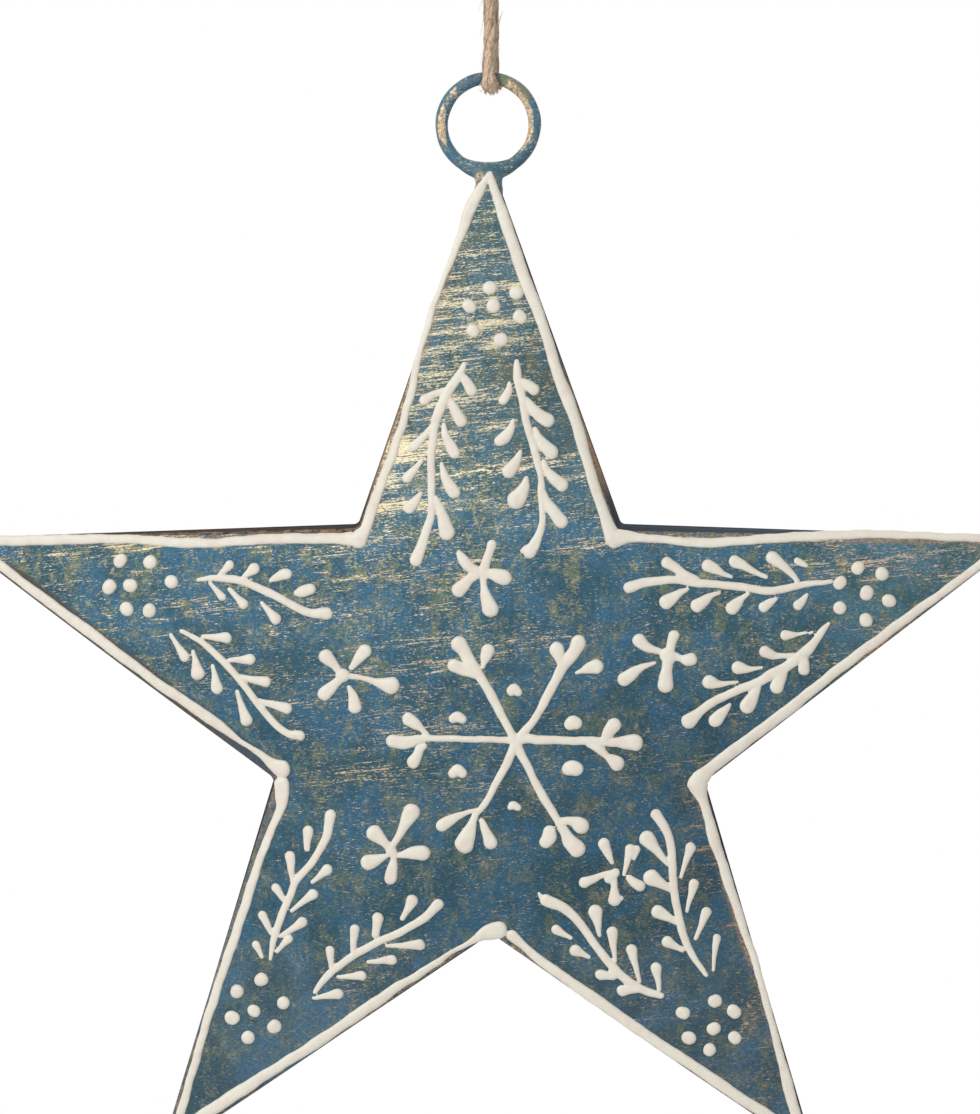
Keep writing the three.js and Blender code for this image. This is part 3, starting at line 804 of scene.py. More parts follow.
def tin_nodes(tree):
    """Worn blue: scratches, tone and warmth by region, painted light and shade, bare metal at the shoulder.
    """
    where, here = object_place(tree)
    across, along = star_place(where)
    # Masks that rise towards the upper left, where the light falls; what they drive below is painted light
    lit = along - across
    upper_left = ramp(lit, -100, 100)
    painted_sheen = ramp(lit, -20, 110)
    right = ramp(across, 30, 80) * ramp(along, -20, 15)
    right_low = ramp(across, 22, 40) * ramp(along, -4, -14)
    right_tip = ramp(across, 50, 80)
    left_arm = ramp(across, -22, -44)
    far_left = ramp(across, -20, -60)
    near_left = ramp(across, -5, -19) * ramp(along, 28, 42)
    middle = ramp(across, 22, 2) * ramp(along, -40, -10)
    low = ramp(along, -38, -50)
    top_arm = ramp(along, 28, 60)
    top_right = ramp(across, -2, 12) * ramp(along, 38, 58)
    peak = ramp(along, 78, 92)

    # Scratch density by region, partly real wear and partly painted sheen: painted_sheen adds scratches
    # towards the upper left, where the light falls
    streaks = painted_sheen * 0.5 + right * 0.5 + (0.36 - peak * 0.45) + ramp(along, 25, 45) * 0.2 + near_left * 0.2
    streaks = streaks + right_low * 0.26 - left_arm * 0.4 + middle * 0.3 - ramp(along, 40, 55) * 0.1
    # Scratches paler towards the upper left, partly as painted highlight, and warmer towards the lower right
    gold = mix(0.62 - upper_left * 0.5, colours().gold, WARM_SCRATCH)
    gold = mix(top_arm, mix(right_low * 0.5, gold, RUSTY_SCRATCH), LEMON_SCRATCH)
    mottle = ramp(along, -10, 35) * 0.2 + 0.58
    # Pale specks, more towards the upper left as painted glints, and fewer on the left arm
    specks_and_glints = upper_left * 0.4 + 0.5 - left_arm * 0.5
    worn, rough, height = worn_paint(where, mottle, streaks, specks_and_glints, gold)

    # Brightness by region, mostly painted light and shade: lighter towards the upper left, where the light
    # falls, and darker on the top arm's right side and towards the lower right, with some of the paint's own
    # tone by region
    light_and_tone_level = upper_left * 0.34 + ramp(along, 22, 36) * 0.12 - ramp(along, 44, 58) * 0.35
    light_and_tone_level = light_and_tone_level + ramp(along, 76, 88) * 0.2 + right * 0.1 + ramp(along, -2, 18) * 0.17 - far_left * 0.13
    light_and_tone_level = light_and_tone_level + ramp(across, 20, -12) * 0.07 - top_right * 0.2 + low * 0.15
    # Duller colour on the top arm, towards the bottom and at the right tip, and a slight hue turn on the top
    # arm and the right tip
    greyed = top_arm * 0.2 + low * 0.14 + right_tip * 0.12
    shaded = tinted(worn, light_and_tone_level + 0.79, 0.96 - greyed, 0.5 - larger(top_arm, right_tip) * 0.022)

    rim = layer_value(tree, "rim")
    crumbled = ramp(noise(here, 1.5, 5, 0.85) + noise(here, 0.07, 3, 0.6) * 0.5, 0.68, 0.8)
    strip = ramp(across, -20, -30) * ramp(along, -12, -20)
    shoulder = (1.0 - ramp(rim, RIM_FACE, 1.6)) * crumbled * (0.9 - strip * 0.5)
    left_edge = ramp(across, -20, -30) * ramp(along, -15, -11) * ramp(along, 30, 26) * ramp(rim, 3.0, 2.0)
    face = mix(shoulder, shaded, bare_metal(here))
    # A darker strip along the left arm's lower edge, bluer towards the notch
    face = mix(left_edge * 0.85, face, mix(ramp(across, -56, -46), DARK_GREY_BROWN, DARK_GREY_BLUE))
    # Below the bend the near-black wall colour, partly painted shade
    shown = mix(1.0 - ramp(rim, RIM_BEND, 0.12), face, colours().wall)
    shader = principled(tree, shown, rough, 0.0, height, 0.08, 0.35)
    shader.inputs["Specular IOR Level"].default_value = 0.14


def wall_nodes(tree):
    """Nearly black, partly painted shade, with teal stretches, slate as painted light on the right and
    umber, partly painted light, on the upper left; bare at the bend and along the top arm.
    """
    where, here = object_place(tree)
    across, along = star_place(where)
    rim = layer_value(tree, "rim")
    rubbed = noise(here, 0.5, 5, 0.8)
    upper_left = ramp(across, -5, -20) * ramp(along, 5, 15)
    right = ramp(across, 12, 30) * ramp(along, -5, 15)
    # colours().wall is near-black: partly the dark metal, partly painted shade
    wall = mix(ramp(noise(here, 0.07, 3, 0.6), 0.48, 0.6), colours().wall, WALL_TEAL)
    wall = mix(ramp(rubbed, 0.56, 0.7) * 0.4, wall, WALL_BROWN)
    # Painted light: slate blue on the right arm's walls, where they face up into the light
    wall = mix(right * 0.75, wall, LIT_WALL_SLATE)
    # Lighter umber on the upper left walls: partly their own colour, partly painted light where they face
    # the light
    wall = mix(upper_left * 0.5, wall, WALL_UMBER)
    top = ramp(rim, -0.96, -0.84) * ramp(along, 39, 46) * ramp(along + rubbed * 30, 88, 66)
    bend = ramp(rim + upper_left * 0.3, -0.34, RIM_BEND) * ramp(rubbed, 0.42, 0.56)
    shown = mix(larger(top, bend) * 0.9, wall, bare_metal(here))
    shader = principled(tree, shown, rubbed * 0.2 + 0.6, 0.0, rubbed, 0.1, 0.4)
    shader.inputs["Specular IOR Level"].default_value = 0.04


def cream_nodes(tree):
    """Thick cream paint with warmer patches and a few small pits."""
    here = object_place(tree)[1]
    warm = ramp(noise(here, 0.3, 3, 0.6), 0.42, 0.66)
    pits = ramp(cells(here, 0.9)[0], 0.13, 0.06) * ramp(noise(here, 0.35, 2, 0.5), 0.55, 0.6)
    grain = noise(here, 2.2, 4, 0.6)
    shown = mix(pits * 0.35, mix(warm, colours().cream, colours().blush), colours().copper)
    principled(tree, shown, grain * 0.2 + 0.42, 0.0, grain - pits, 0.1, 0.25)


def ring_nodes(tree):
    """Blue wire and solder, dulled in places, with the brass showing where it is rubbed and as a painted
    glint on the ring's upper left.
    """
    where, here = object_place(tree)
    worn, rough, height = worn_paint(where, 0.6, 0.35, 0.9, colours().gold)
    rubbed = noise(here, (1.3, 1.3, 0.8), 6, 0.8, 0.3)
    dulled = ramp(noise(here, 1.1, 5, 0.75) + layer_value(tree, "tarnish"), 0.95, 1.3)
    brass = ramp(rubbed * 1.5 + layer_value(tree, "rub"), 1.06, 1.24)
    spotted = ramp(noise(here, 1.9, 4, 0.8), 0.34, 0.6)
    shown = mix(dulled * 0.85, tinted(worn, 1.22), mix(rubbed, GREEN_TARNISH, TAN_TARNISH))
    shown = mix(brass * 0.9, shown, mix(spotted, DARK_BRASS, LIGHT_BRASS))
    principled(tree, shown, rough - brass * 0.12, brass * 0.35, height, 0.1, 0.4)


def jute_nodes(tree):
    """Fibres run along the mesh's V, so the streaks are long in V and fine in U."""
    uv = Signal(add_node(tree, "ShaderNodeUVMap", uv_map="fibre").outputs["UV"])
    lines = noise(uv, (26, 1.1, 1), 4, 0.62, 0.3)
    dark = ramp(lines + noise(uv, (3, 0.35, 1), 2, 0.5) * 0.4, 0.62, 0.9)
    shader = principled(tree, mix(dark, colours().jute, colours().bark), 0.85, 0.0, lines, 0.2, 0.6)
    shader.inputs["Sheen Weight"].default_value = 0.25
    shader.inputs["Sheen Roughness"].default_value = 0.5


def floor_nodes(tree):
    """Plain and pale, with hardly a change of tone."""
    where = Signal(tree.nodes.new("ShaderNodeTexCoord").outputs["Object"])
    pale = mix(noise(where, 3.0, 2, 0.5), (0.86, 0.86, 0.86, 1), (0.9, 0.9, 0.9, 1))
    principled(tree, pale, 0.8)


def tin_material():
    return material_of("worn blue tin", tin_nodes)


def wall_material():
    return material_of("dark side wall", wall_nodes)


def cream_material():
    return material_of("raised cream paint", cream_nodes)


def ring_material():
    return material_of("rubbed blue wire", ring_nodes)


def jute_material():
    return material_of("jute fibre", jute_nodes)


# Twine

# How far the twine's lay turns for each millimetre along it, in radians, and its core's share of its radius
LAY = 0.22
CORE = 0.86

# The core's ribs: how many round it, how deep, how fast they turn for the lay, and where they start
RIBS = [(3, 0.075, 1.0, 0.3), (5, 0.045, 0.8, 1.9), (9, 0.035, 1.2, 4.0), (14, 0.028, 0.9, 2.2)]


def run_along(line):
    """The distance along a line at each of its points."""
    return np.concatenate([[0], np.cumsum(np.linalg.norm(np.diff(line, axis=0), axis=1))])


def at_runs(runs, run, values):
    """Three-part values along a line, read at other distances."""
    return np.column_stack([np.interp(runs, run, values[:, k]) for k in range(3)])


def resample(points, step):
    """Even points along a smooth line, in millimetres."""
    line = smooth_line(points, 24)
    run = run_along(line)
    return at_runs(np.linspace(0, run[-1], max(int(run[-1] / step), 4) + 1), run, line)


def frames_along(line):
    """Directions across and up at each point, turning as little as possible."""
    ahead = np.gradient(line, axis=0)
    ahead /= np.linalg.norm(ahead, axis=1)[:, None]
    first = np.array([1.0, 0, 0]) if abs(ahead[0][0]) < 0.9 else np.array([0, 1.0, 0])
    across = [np.cross(ahead[0], np.cross(first, ahead[0]))]
    for way in ahead[1:]:
        last = across[-1]
        across.append(last - way * (last @ way))
    across = np.array(across)
    across /= np.linalg.norm(across, axis=1)[:, None]
    return across, np.cross(ahead, across)


def tube(line, radii):
    """The points and faces of a tube round a line, from the radii round it at each of the line's points."""
    across, up = frames_along(line)
    angles = np.array(full_turn(radii.shape[1]))
    rings = line[:, None] + (radii * np.cos(angles))[..., None] * across[:, None]
    rings = rings + (radii * np.sin(angles))[..., None] * up[:, None]
    return rings.reshape(-1, 3), tube_faces(*radii.shape)


def core_radii(radius, run, sides, seed):
    """The ribbed, slightly uneven core's radii, at distances along the twine."""
    angles = np.array(full_turn(sides))
    run = run[:, None]
    size = CORE
    for count, deep, rate, phase in RIBS:
        waver = 0.5 * np.sin(run * 0.7 + phase)
        size = size + deep * np.cos(count * (angles - LAY * rate * run) + phase + waver)
    swell = 1 + 0.05 * np.sin(run * 0.9 + seed) + 0.03 * np.sin(run * 2.3 + 1)
    return radius * size * swell


def loose_fibres(rng, total, laid, hairs, fray):
    """Single fibres: laid along the twine, as stray hairs all along, and as fray about its middle.

    Each is its start, length, angle, distance out, thickness, drift and lift.
    """
    def draw(low, high):
        return low if low == high else rng.uniform(low, high)

    fibres = []
    for count, length, middle, begin, out, thick, drift, lift in (
            (laid, (6, 18), 0, (-2, total - 4), (0.93, 1.1), (0.045, 0.085), 0.05, (0.0, 0.0)),
            (hairs, (2, 6), 0, (0, total - 2), (1.0, 1.0), (0.02, 0.035), 0.25, (0.3, 1.3)),
            (fray, (1.2, 2.6), total / 2, (-4.5, 3), (1.0, 1.0), (0.022, 0.04), 0.4, (0.2, 0.7))):
        for _ in range(count):
            long = draw(*length)
            fibres.append((middle + draw(*begin), long, draw(0, 2 * math.pi), draw(*out), draw(*thick),
                           draw(-drift, drift), draw(*lift)))
    return fibres


def twine_mesh(name, points, radius, seed, shape=None, hairs=30, fray=0):
    """A loosely laid jute twine: a ribbed core, single fibres along it and a few stray hairs."""
    rng = np.random.default_rng(seed)
    line = resample(points, by_detail(0.3))
    run = run_along(line)
    sides = by_detail(40)
    vertices, faces = tube(line, core_radii(radius, run, sides, seed))
    across, up = frames_along(line)
    uv_u = [np.tile(np.arange(sides) / sides, len(line)) - np.repeat(run * LAY / (2 * math.pi), sides)]
    uv_v = [np.repeat(run, sides)]
    groups = [vertices]
    offset = len(vertices)
    fibres = loose_fibres(rng, run[-1], by_detail(70), hairs, fray)
    for begin, length, phi, out, thick, drift, lift in fibres:
        runs = np.arange(max(begin, 0), min(begin + length, run[-1]), 0.8 if lift == 0 else 0.3)
        if len(runs) < 4:
            continue
        share = (runs - runs[0]) / (runs[-1] - runs[0])
        angle = phi + (LAY + drift) * (runs - runs[0])
        rise = radius * out * (0.95 + 0.04 * np.sin(runs * 1.3 + phi)) + lift * share ** 1.6
        fibre = at_runs(runs, run, line) + at_runs(runs, run, across) * (rise * np.cos(angle))[:, None]
        fibre = fibre + at_runs(runs, run, up) * (rise * np.sin(angle))[:, None]
        thin = thick * np.clip(np.minimum(share, 1 - share) * 6, 0.25, 1)
        made, own_faces = tube(fibre, np.repeat(thin[:, None], 4, axis=1))
        groups.append(made)
        faces += [tuple(index + offset for index in face) for face in own_faces]
        offset += len(made)
        uv_u.append(np.full(len(made), rng.uniform(0, 4)))
        uv_v.append(np.repeat(run_along(fibre), 4) + rng.uniform(0, 40))
    places = np.vstack(groups)
    if shape is not None:
        places = shape(places)
    thing = mesh_object(name, places * MM, faces, jute_material())
    corner = np.zeros(len(thing.data.loops), np.int32)
    thing.data.loops.foreach_get("vertex_index", corner)
    uv = np.column_stack([np.concatenate(uv_u)[corner], np.concatenate(uv_v)[corner]])
    thing.data.uv_layers.new(name="fibre").data.foreach_set("uv", uv.ravel().astype(np.float32))
    return thing, line


def broad_bight(points):
    """Spreads the twine sideways where it lies under the ring's wire."""
    low = np.clip((RING_TOP_Z + 0.6 - points[:, 2]) / 1.8, 0, 1)
    points[:, 0] = -0.55 + (points[:, 0] + 0.55 + 0.1 * low) * (1 + 0.45 * low)
    return points


# Strokes of the ornament, read from the photograph: pixels across, pixels down, half width in pixels

SNOWFLAKE = [
    [(514, 739, 4.0), (504.5, 721, 3.9), (494, 700.5, 4.5), (485, 685, 4.5), (478, 674, 5.4),
     (470, 662, 6.4), (464.5, 652, 6.2), (459, 644.5, 7.8)],
    [(474, 674, 4.8), (463, 670, 5.8), (453.5, 665.5, 6.3)],
    [(483, 667, 1.8), (484, 662, 3.2), (486, 656, 5.4), (487.5, 651, 6.7)],
    [(518, 739, 3.8), (526, 730, 4.0), (534, 720, 3.6), (545.5, 700, 4.3), (555.5, 680, 4.6),
     (563, 667, 5.4), (571, 656, 6.0), (576, 648, 6.5), (578.5, 642.5, 7.4)],
    [(563, 667, 4.6), (560, 658, 5.2), (556.5, 649.5, 7.1)],
    [(576.5, 673, 1.3), (583, 670.5, 2.8), (589, 668, 5.4), (596, 667, 7.1)],
    [(514, 741, 4.6), (505, 740, 3.2), (480, 739.5, 3.0), (455, 739, 3.0), (430, 738.4, 3.1),
     (418, 740, 4.6), (405, 742.6, 6.4), (392.5, 741.5, 6.4)],
    [(427, 735, 2.2), (421, 729, 3.4), (415, 724, 5.5), (408.5, 719.5, 6.6)],
    [(424.5, 746.5, 2.6), (420, 749.5, 4.2), (417, 756, 5.1), (413, 762, 6.3)],
    [(518, 741, 4.4), (527, 738.6, 4.8), (540, 740, 4.4), (560, 740.5, 4.0), (580, 741, 4.0),
     (600, 741.5, 4.4), (616, 742.6, 4.6), (624, 742.8, 6.4), (634.5, 742.5, 8.4)],
    [(604.5, 740, 4.4), (608, 733, 5.6), (614, 725.6, 7.1)],
    [(590, 744, 4.0), (600, 750, 4.2), (607, 756, 3.3), (612, 759.5, 5.0), (617, 763.5, 7.3)],
    [(515, 745, 4.6), (508.5, 760, 4.1), (498, 780, 3.6), (487, 800, 3.1), (481, 809, 3.0), (476, 815, 3.0),
     (472, 824, 4.4), (468, 834, 7.2), (464.5, 844, 9.4)],
    [(478, 810.5, 2.2), (468, 812.5, 2.2), (458, 816, 3.4), (450, 820.5, 5.1), (442.5, 825.5, 6.3)],
    [(482, 822, 3.2), (485, 830, 4.4), (488, 837, 5.5), (490.5, 843, 6.6)],
    [(517, 746, 4.4), (522, 756, 4.1), (529, 769, 3.9), (533, 779, 3.8), (539, 790, 4.1), (545, 800, 4.3),
     (551.5, 810, 4.1), (558, 821, 4.2), (565, 833, 5.2), (570, 842, 7.0), (577, 849, 8.2)],
    [(560, 821, 3.6), (568, 821, 4.0), (575, 822.5, 5.4), (581, 826, 8.2)],
    [(549.5, 832, 6.2), (549, 838, 7.2), (546, 842, 6.3)],
]

FLOWERS = {
    "top": [
        [(482.5, 573, 5.0), (486, 562, 4.5), (489.5, 553, 4.2), (491.5, 545, 4.7)],
        [(478, 572, 4.8), (469, 567, 5.2), (463, 560, 5.2), (459.5, 554, 3.2)],
        [(484, 573, 4.4), (492, 574, 5.2), (498, 576, 6.8), (504, 578, 7.5)],
        [(478, 574, 4.5), (470, 579, 4.8), (464, 585, 6.2), (458.5, 590, 7.0)],
        [(483, 577, 3.4), (484, 586, 3.1), (486, 596, 5.4), (490, 608.5, 8.5)],
    ],
    "left": [
        [(342.4, 676, 6.7), (343, 675.5, 6.7)],
        [(340, 673, 3.4), (334.5, 665.5, 4.2), (329.5, 660.5, 5.8), (325.6, 656.8, 6.9)],
        [(351.2, 667.5, 2.7), (358.5, 658.5, 5.0), (365, 651.4, 6.6)],
        [(345, 675.3, 3.4), (360, 677.6, 2.3), (371.5, 681, 3.0), (381, 683.6, 5.2), (390.6, 685.5, 8.6)],
        [(349.3, 687.6, 2.3), (353.1, 697, 4.8), (354.7, 707, 6.6)],
        [(341, 679, 4.0), (334, 685, 4.6), (329.4, 689, 6.0), (324.5, 693.5, 6.9)],
    ],
    "right": [
        [(667.5, 655.5, 7.8), (668.5, 656.5, 7.8)],
        [(660, 652, 3.0), (652, 649.5, 3.6), (645, 646, 5.2), (639, 640.5, 6.7)],
        [(670, 650, 4.2), (672, 642, 4.6), (674, 635.5, 5.3)],
        [(674, 656, 4.4), (681, 658.5, 3.4), (687, 660, 5.7), (691, 659.5, 6.1)],
        [(667.5, 662, 5.4), (667, 670, 5.2), (666, 678, 6.8), (665.5, 685, 7.9)],
        [(654.5, 663, 1.6), (645, 666, 2.8), (636, 671, 4.6), (630, 675.5, 6.1), (624.5, 679, 7.0)],
    ],
    "lower_left": [
        [(390.6, 849.6, 5.4), (391, 850.4, 5.4)],
        [(393, 846, 3.0), (399, 835, 3.6), (404, 826, 5.2), (411.3, 812.6, 8.5)],
        [(389, 847.5, 4.0), (382, 840.5, 5.0), (374.3, 833.4, 7.8)],
        [(397, 856, 2.0), (406, 854, 4.3), (414, 853, 6.4), (422.5, 853.5, 7.5)],
        [(393, 853, 4.6), (393.6, 860, 3.2), (392, 868, 5.0), (390.6, 878.6, 6.1)],
        [(386, 856.5, 2.2), (377, 859.5, 5.2), (368.4, 862.5, 7.8)],
    ],
    "lower_right": [
        [(612.2, 862.6, 1.8), (607.8, 853.8, 3.9), (603.9, 844.1, 6.0)],
        [(624.3, 874.8, 1.7), (627.2, 861, 3.1), (630.7, 850, 5.7)],
        [(633.9, 858.6, 1.7), (636.4, 849.2, 4.1)],
        [(629.6, 878.8, 3.4), (634.5, 883, 4.8), (640, 886.2, 5.4)],
        [(615.4, 873, 4.5), (612, 875.5, 5.2), (608.5, 879, 4.6)],
        [(611, 873.6, 3.6), (600.7, 876, 2.9), (593.5, 879.4, 3.7), (584.1, 882.4, 5.4)],
        [(612.5, 876, 4.6), (614.1, 885.6, 3.3), (614.2, 894, 4.8), (614.6, 899.8, 6.3)],
        [(616, 897, 3.0), (620.5, 898.3, 2.6)],
    ],
}

SPRIGS = {
    "left_b": [
        stem([(198, 580), (219, 578), (240, 581), (265, 591), (288, 603), (309, 613),
              (326, 613.5)], 1.6, 3.8, 6.2),
        drop((219, 575), (232.5, 562), 4.6),
        drop((244, 576.5), (258.5, 565), 5.6, 2.4),
        [(270.5, 581, 1.8), (276, 578, 3.6), (283.5, 574.5, 5.3), (287, 573.8, 5.0)],
        [(296.5, 593, 3.0), (303, 591.5, 5.6), (310.5, 589.5, 5.3)],
        drop((210.5, 584), (224.5, 600), 4.2),
        drop((229.5, 589), (246.5, 608), 4.8),
        drop((262, 603), (279, 623), 5.6),
    ],
    "left_a": [
        stem([(181, 631), (204, 644), (224.5, 663), (240, 681), (258, 704), (275.5, 724.5), (288, 734),
              (300, 735.5)], 1.8, 3.5, 5.0),
        drop((203, 636.5), (231.5, 638.5), 5.5, 2.2),
        drop((229.5, 660.5), (255, 659), 5.4, 2.2),
        drop((239, 677), (271, 683), 5.2, 2.6),
        drop((259, 701), (291.5, 710), 5.6, 2.6),
        drop((171, 635), (187, 661), 5.2),
        drop((193, 652), (199, 680), 6.9),
        drop((212.5, 666), (218, 694), 6.0),
        drop((237, 692), (248, 726), 6.2),
    ],
    "top_a": [
        [(464.5, 364, 2.2), (457, 378, 4.2), (447, 394, 5.0), (439, 411, 5.0), (434, 430, 4.0),
         (431, 461, 3.9), (431.5, 492, 3.6), (431, 515, 3.7), (424, 538, 4.6), (416, 560, 6.2)],
        [(461, 375, 3.6), (466.5, 382, 4.7), (471.5, 390.5, 5.3)],
        [(450, 401, 3.6), (455.5, 412, 5.1), (461, 421.5, 5.7)],
        [(444, 424.5, 2.0), (445, 434, 3.8), (450.5, 446, 5.3), (454.5, 453, 5.5)],
        [(441.8, 464.5, 2.0), (444.5, 476, 4.3), (449.5, 486, 5.9), (454, 492.5, 6.1)],
        [(435.5, 498, 2.8), (441, 512, 4.9), (447, 532.5, 7.6)],
        [(443, 391, 3.2), (432, 395, 3.6), (424, 400.5, 5.0)],
        [(434, 425, 2.8), (423, 437, 3.4), (414, 446, 4.8)],
        [(422, 460, 1.7), (415, 468.6, 3.2), (407.5, 478, 5.2)],
        [(421, 493.5, 1.7), (415, 501.5, 4.4), (409.5, 507.5, 6.1)],
    ],
    "top_b": [
        [(516.5, 361.5, 2.2), (516.8, 368, 3.5), (518, 380, 4.3), (521, 393, 4.3), (523, 403, 4.1),
         (526, 420, 3.7), (531.5, 440, 3.9), (537, 460, 3.6), (541, 478, 2.9), (541, 490, 3.7),
         (542.5, 508, 3.2), (542, 523, 3.2), (538.5, 536, 4.0), (534.5, 545, 5.3), (529.5, 552.5, 6.2)],
        [(531, 548, 4.0), (526, 549, 3.4), (522.5, 551, 2.4)],
        [(520, 382, 4.2), (527, 384.5, 5.2), (534, 389.5, 5.5)],
        [(526.5, 400, 3.0), (531, 407, 5.0), (539, 415, 6.0), (547.5, 420.5, 6.6)],
        [(535.5, 429, 2.0), (538.5, 437, 4.0), (544, 445, 6.1), (551, 452, 7.0)],
        [(543.5, 462, 2.2), (547, 470, 3.6), (553, 477.5, 5.5), (561.5, 484.5, 6.8)],
        [(543, 492, 2.6), (547, 502, 4.1), (554, 512, 5.9), (561, 521.5, 7.0)],
        [(509.5, 383.5, 1.8), (508.5, 391, 3.8), (503, 400, 4.6)],
        [(513.5, 420, 1.7), (510.5, 429, 3.8), (504, 438, 6.0), (499, 441.5, 4.7)],
        [(520.5, 451.5, 1.8), (517.5, 459, 4.0), (512.5, 467, 5.8), (508.5, 472, 6.4)],
        [(526, 478, 2.2), (524.5, 486, 4.6), (521, 494, 7.0), (516, 500.5, 8.8)],
    ],
    "right_a": [
        stem([(629, 587.5), (649, 582), (674, 580), (695, 583), (728, 585.5), (753.5, 589), (774, 591),
              (799, 585.5), (831, 581.5)], 5.4, 3.8, 2.0),
        [(696, 580, 4.0), (684, 574, 4.3), (674, 567, 4.9), (667, 563, 5.5)],
        [(731, 577, 1.5), (723, 573.5, 2.6), (715, 569, 4.9), (708, 566, 6.2)],
        [(766, 577, 2.0), (755, 572, 2.8), (744, 566, 4.6), (735, 562, 6.1)],
        [(798, 581, 2.0), (791, 573, 3.2), (782, 565, 4.5), (772.5, 558, 6.4)],
        [(806, 566, 2.0), (801, 563.5, 3.0), (797, 561, 3.2)],
        [(687, 589, 1.8), (680, 593, 3.4), (673, 598, 5.5), (666.5, 602, 7.0)],
        [(719, 593, 1.8), (711, 596, 2.8), (704, 601, 5.3), (697.5, 605.5, 6.7)],
        [(748, 594.5, 1.8), (742, 599, 3.0), (737, 603.5, 5.3), (732, 608, 6.5)],
        [(776, 599, 1.8), (771, 602, 3.6), (764, 607, 5.2)],
        [(807, 595, 1.6), (803, 600, 3.4), (798, 605, 4.9)],
    ],
    "right_b": [
        [(828.5, 624, 1.7), (822, 632, 3.4), (814, 642.5, 4.1), (806, 651.5, 5.4), (796, 660, 5.2),
         (784, 668, 5.0), (772, 674.5, 5.2), (760, 681.5, 4.5), (740, 689.5, 4.1), (720, 698.5, 4.1),
         (705, 707.5, 4.2), (696, 715, 5.3), (689, 721.5, 7.4)],
        [(806, 632.5, 1.3), (797, 634.5, 1.8), (791, 635.5, 3.4), (785, 635.3, 4.9)],
        [(809.5, 633, 1.2), (812.5, 632.2, 1.3)],
        [(794, 656, 2.8), (784, 655.8, 2.6), (776, 655.8, 3.4), (771, 654.6, 4.9), (765, 652, 5.7)],
        [(761.5, 667.8, 1.3), (753, 668.8, 2.2), (746, 669, 4.0), (738.5, 668, 6.5)],
        [(737, 682.5, 1.4), (726, 683.5, 2.2), (717, 684, 4.0), (709.5, 682.3, 6.9)],
        [(803, 656, 4.8), (804, 664, 5.4), (804, 670, 5.6)],
        [(783, 670, 4.8), (780, 679, 5.8), (777, 687.5, 6.6)],
        [(758, 686, 3.4), (755, 692, 4.3), (751, 700, 6.4), (747.5, 706.5, 7.4)],
        [(730, 704.5, 1.5), (726, 709, 3.4), (721, 714, 5.1), (715.5, 720.5, 6.8)],
    ],
    "lower_left_b": [
        stem([(330.5, 815), (326, 837), (315, 858), (296, 881.5), (289, 898), (279, 922), (273, 943),
              (270, 959)], 5.4, 3.6, 1.5),
        drop((307, 848.5), (308, 826), 5.3, 3.0),
        drop((293, 883), (289, 851.5), 5.2, 2.4),
        drop((284, 900), (273, 884.5), 4.6, 2.6),
        drop((271.5, 933), (260, 911.5), 4.5, 2.6),
        drop((261.5, 957), (254, 941.5), 4.2, 2.0),
        drop((312.5, 882), (331, 866.5), 5.3),
        drop((292, 910.5), (317, 891), 5.1),
        drop((280.5, 936.5), (306.5, 919.5), 5.1),
        drop((277, 951.5), (291.5, 936), 4.2),
    ],
    "lower_left_a": [
        stem([(438.5, 904.5), (424, 918), (405, 930), (376.5, 943), (353, 956), (334, 970), (322, 982),
              (315, 992)], 5.2, 3.7, 2.0),
        drop((402.5, 918.5), (415, 895.5), 5.8, 2.4),
        drop((375, 935), (379, 913), 5.6, 3.6),
        drop((353, 951), (355, 924.5), 4.7, 3.0),
        drop((332, 969), (329, 946), 4.3, 2.6),
        drop((387, 946), (425, 945), 5.5, 1.8),
        drop((368, 962), (397, 960), 5.0, 1.8),
        drop((338, 977), (366.5, 976), 4.8, 1.8),
        drop((314, 998), (343, 993.5), 5.4, 1.8),
    ],
    "lower_right_b": [
        stem([(546, 900.5), (564, 908.5), (581, 925), (597, 947.5), (616, 971), (633, 985), (647, 991.5),
              (661, 996)], 6.2, 4.2, 3.0),
        [(538.5, 893.5, 1.2), (541, 897.5, 2.4), (545, 900, 4.0)],
        drop((599.5, 935), (594, 905), 7.2),
        drop((615, 961), (611.5, 927), 5.5),
        drop((639, 981), (630.5, 944.5), 5.4),
        drop((659, 990), (655.5, 963), 5.5, 2.0),
        drop((570.5, 938), (552, 927.5), 5.1),
        drop((588.5, 957.5), (570, 948), 5.7),
        drop((614, 976), (595.5, 974.5), 5.3, 3.8),
        drop((638, 989), (617, 991.5), 5.6, 4.0),
    ],
    "lower_right_a": [
        stem([(656.3, 814.5), (667, 832), (672, 855.5), (673, 881.5), (676.5, 905), (682, 931), (692, 955),
              (706, 975)], 5.3, 3.9, 2.0),
        drop((668, 864), (642, 833), 7.6, 2.6),
        drop((672, 891), (644.5, 873.5), 7.9, 2.8),
        drop((679, 924), (652, 908.5), 6.7, 2.8),
        drop((682, 950.5), (662.5, 939), 5.8, 2.4),
        drop((681, 877), (692, 843), 5.0, 1.6),
        drop((687, 911), (695, 879.5), 5.0, 1.6),
        drop((695.5, 938.5), (708.5, 908), 5.0, 1.8),
        drop((713, 970), (717, 934.5), 3.9, 1.5),
    ],
}

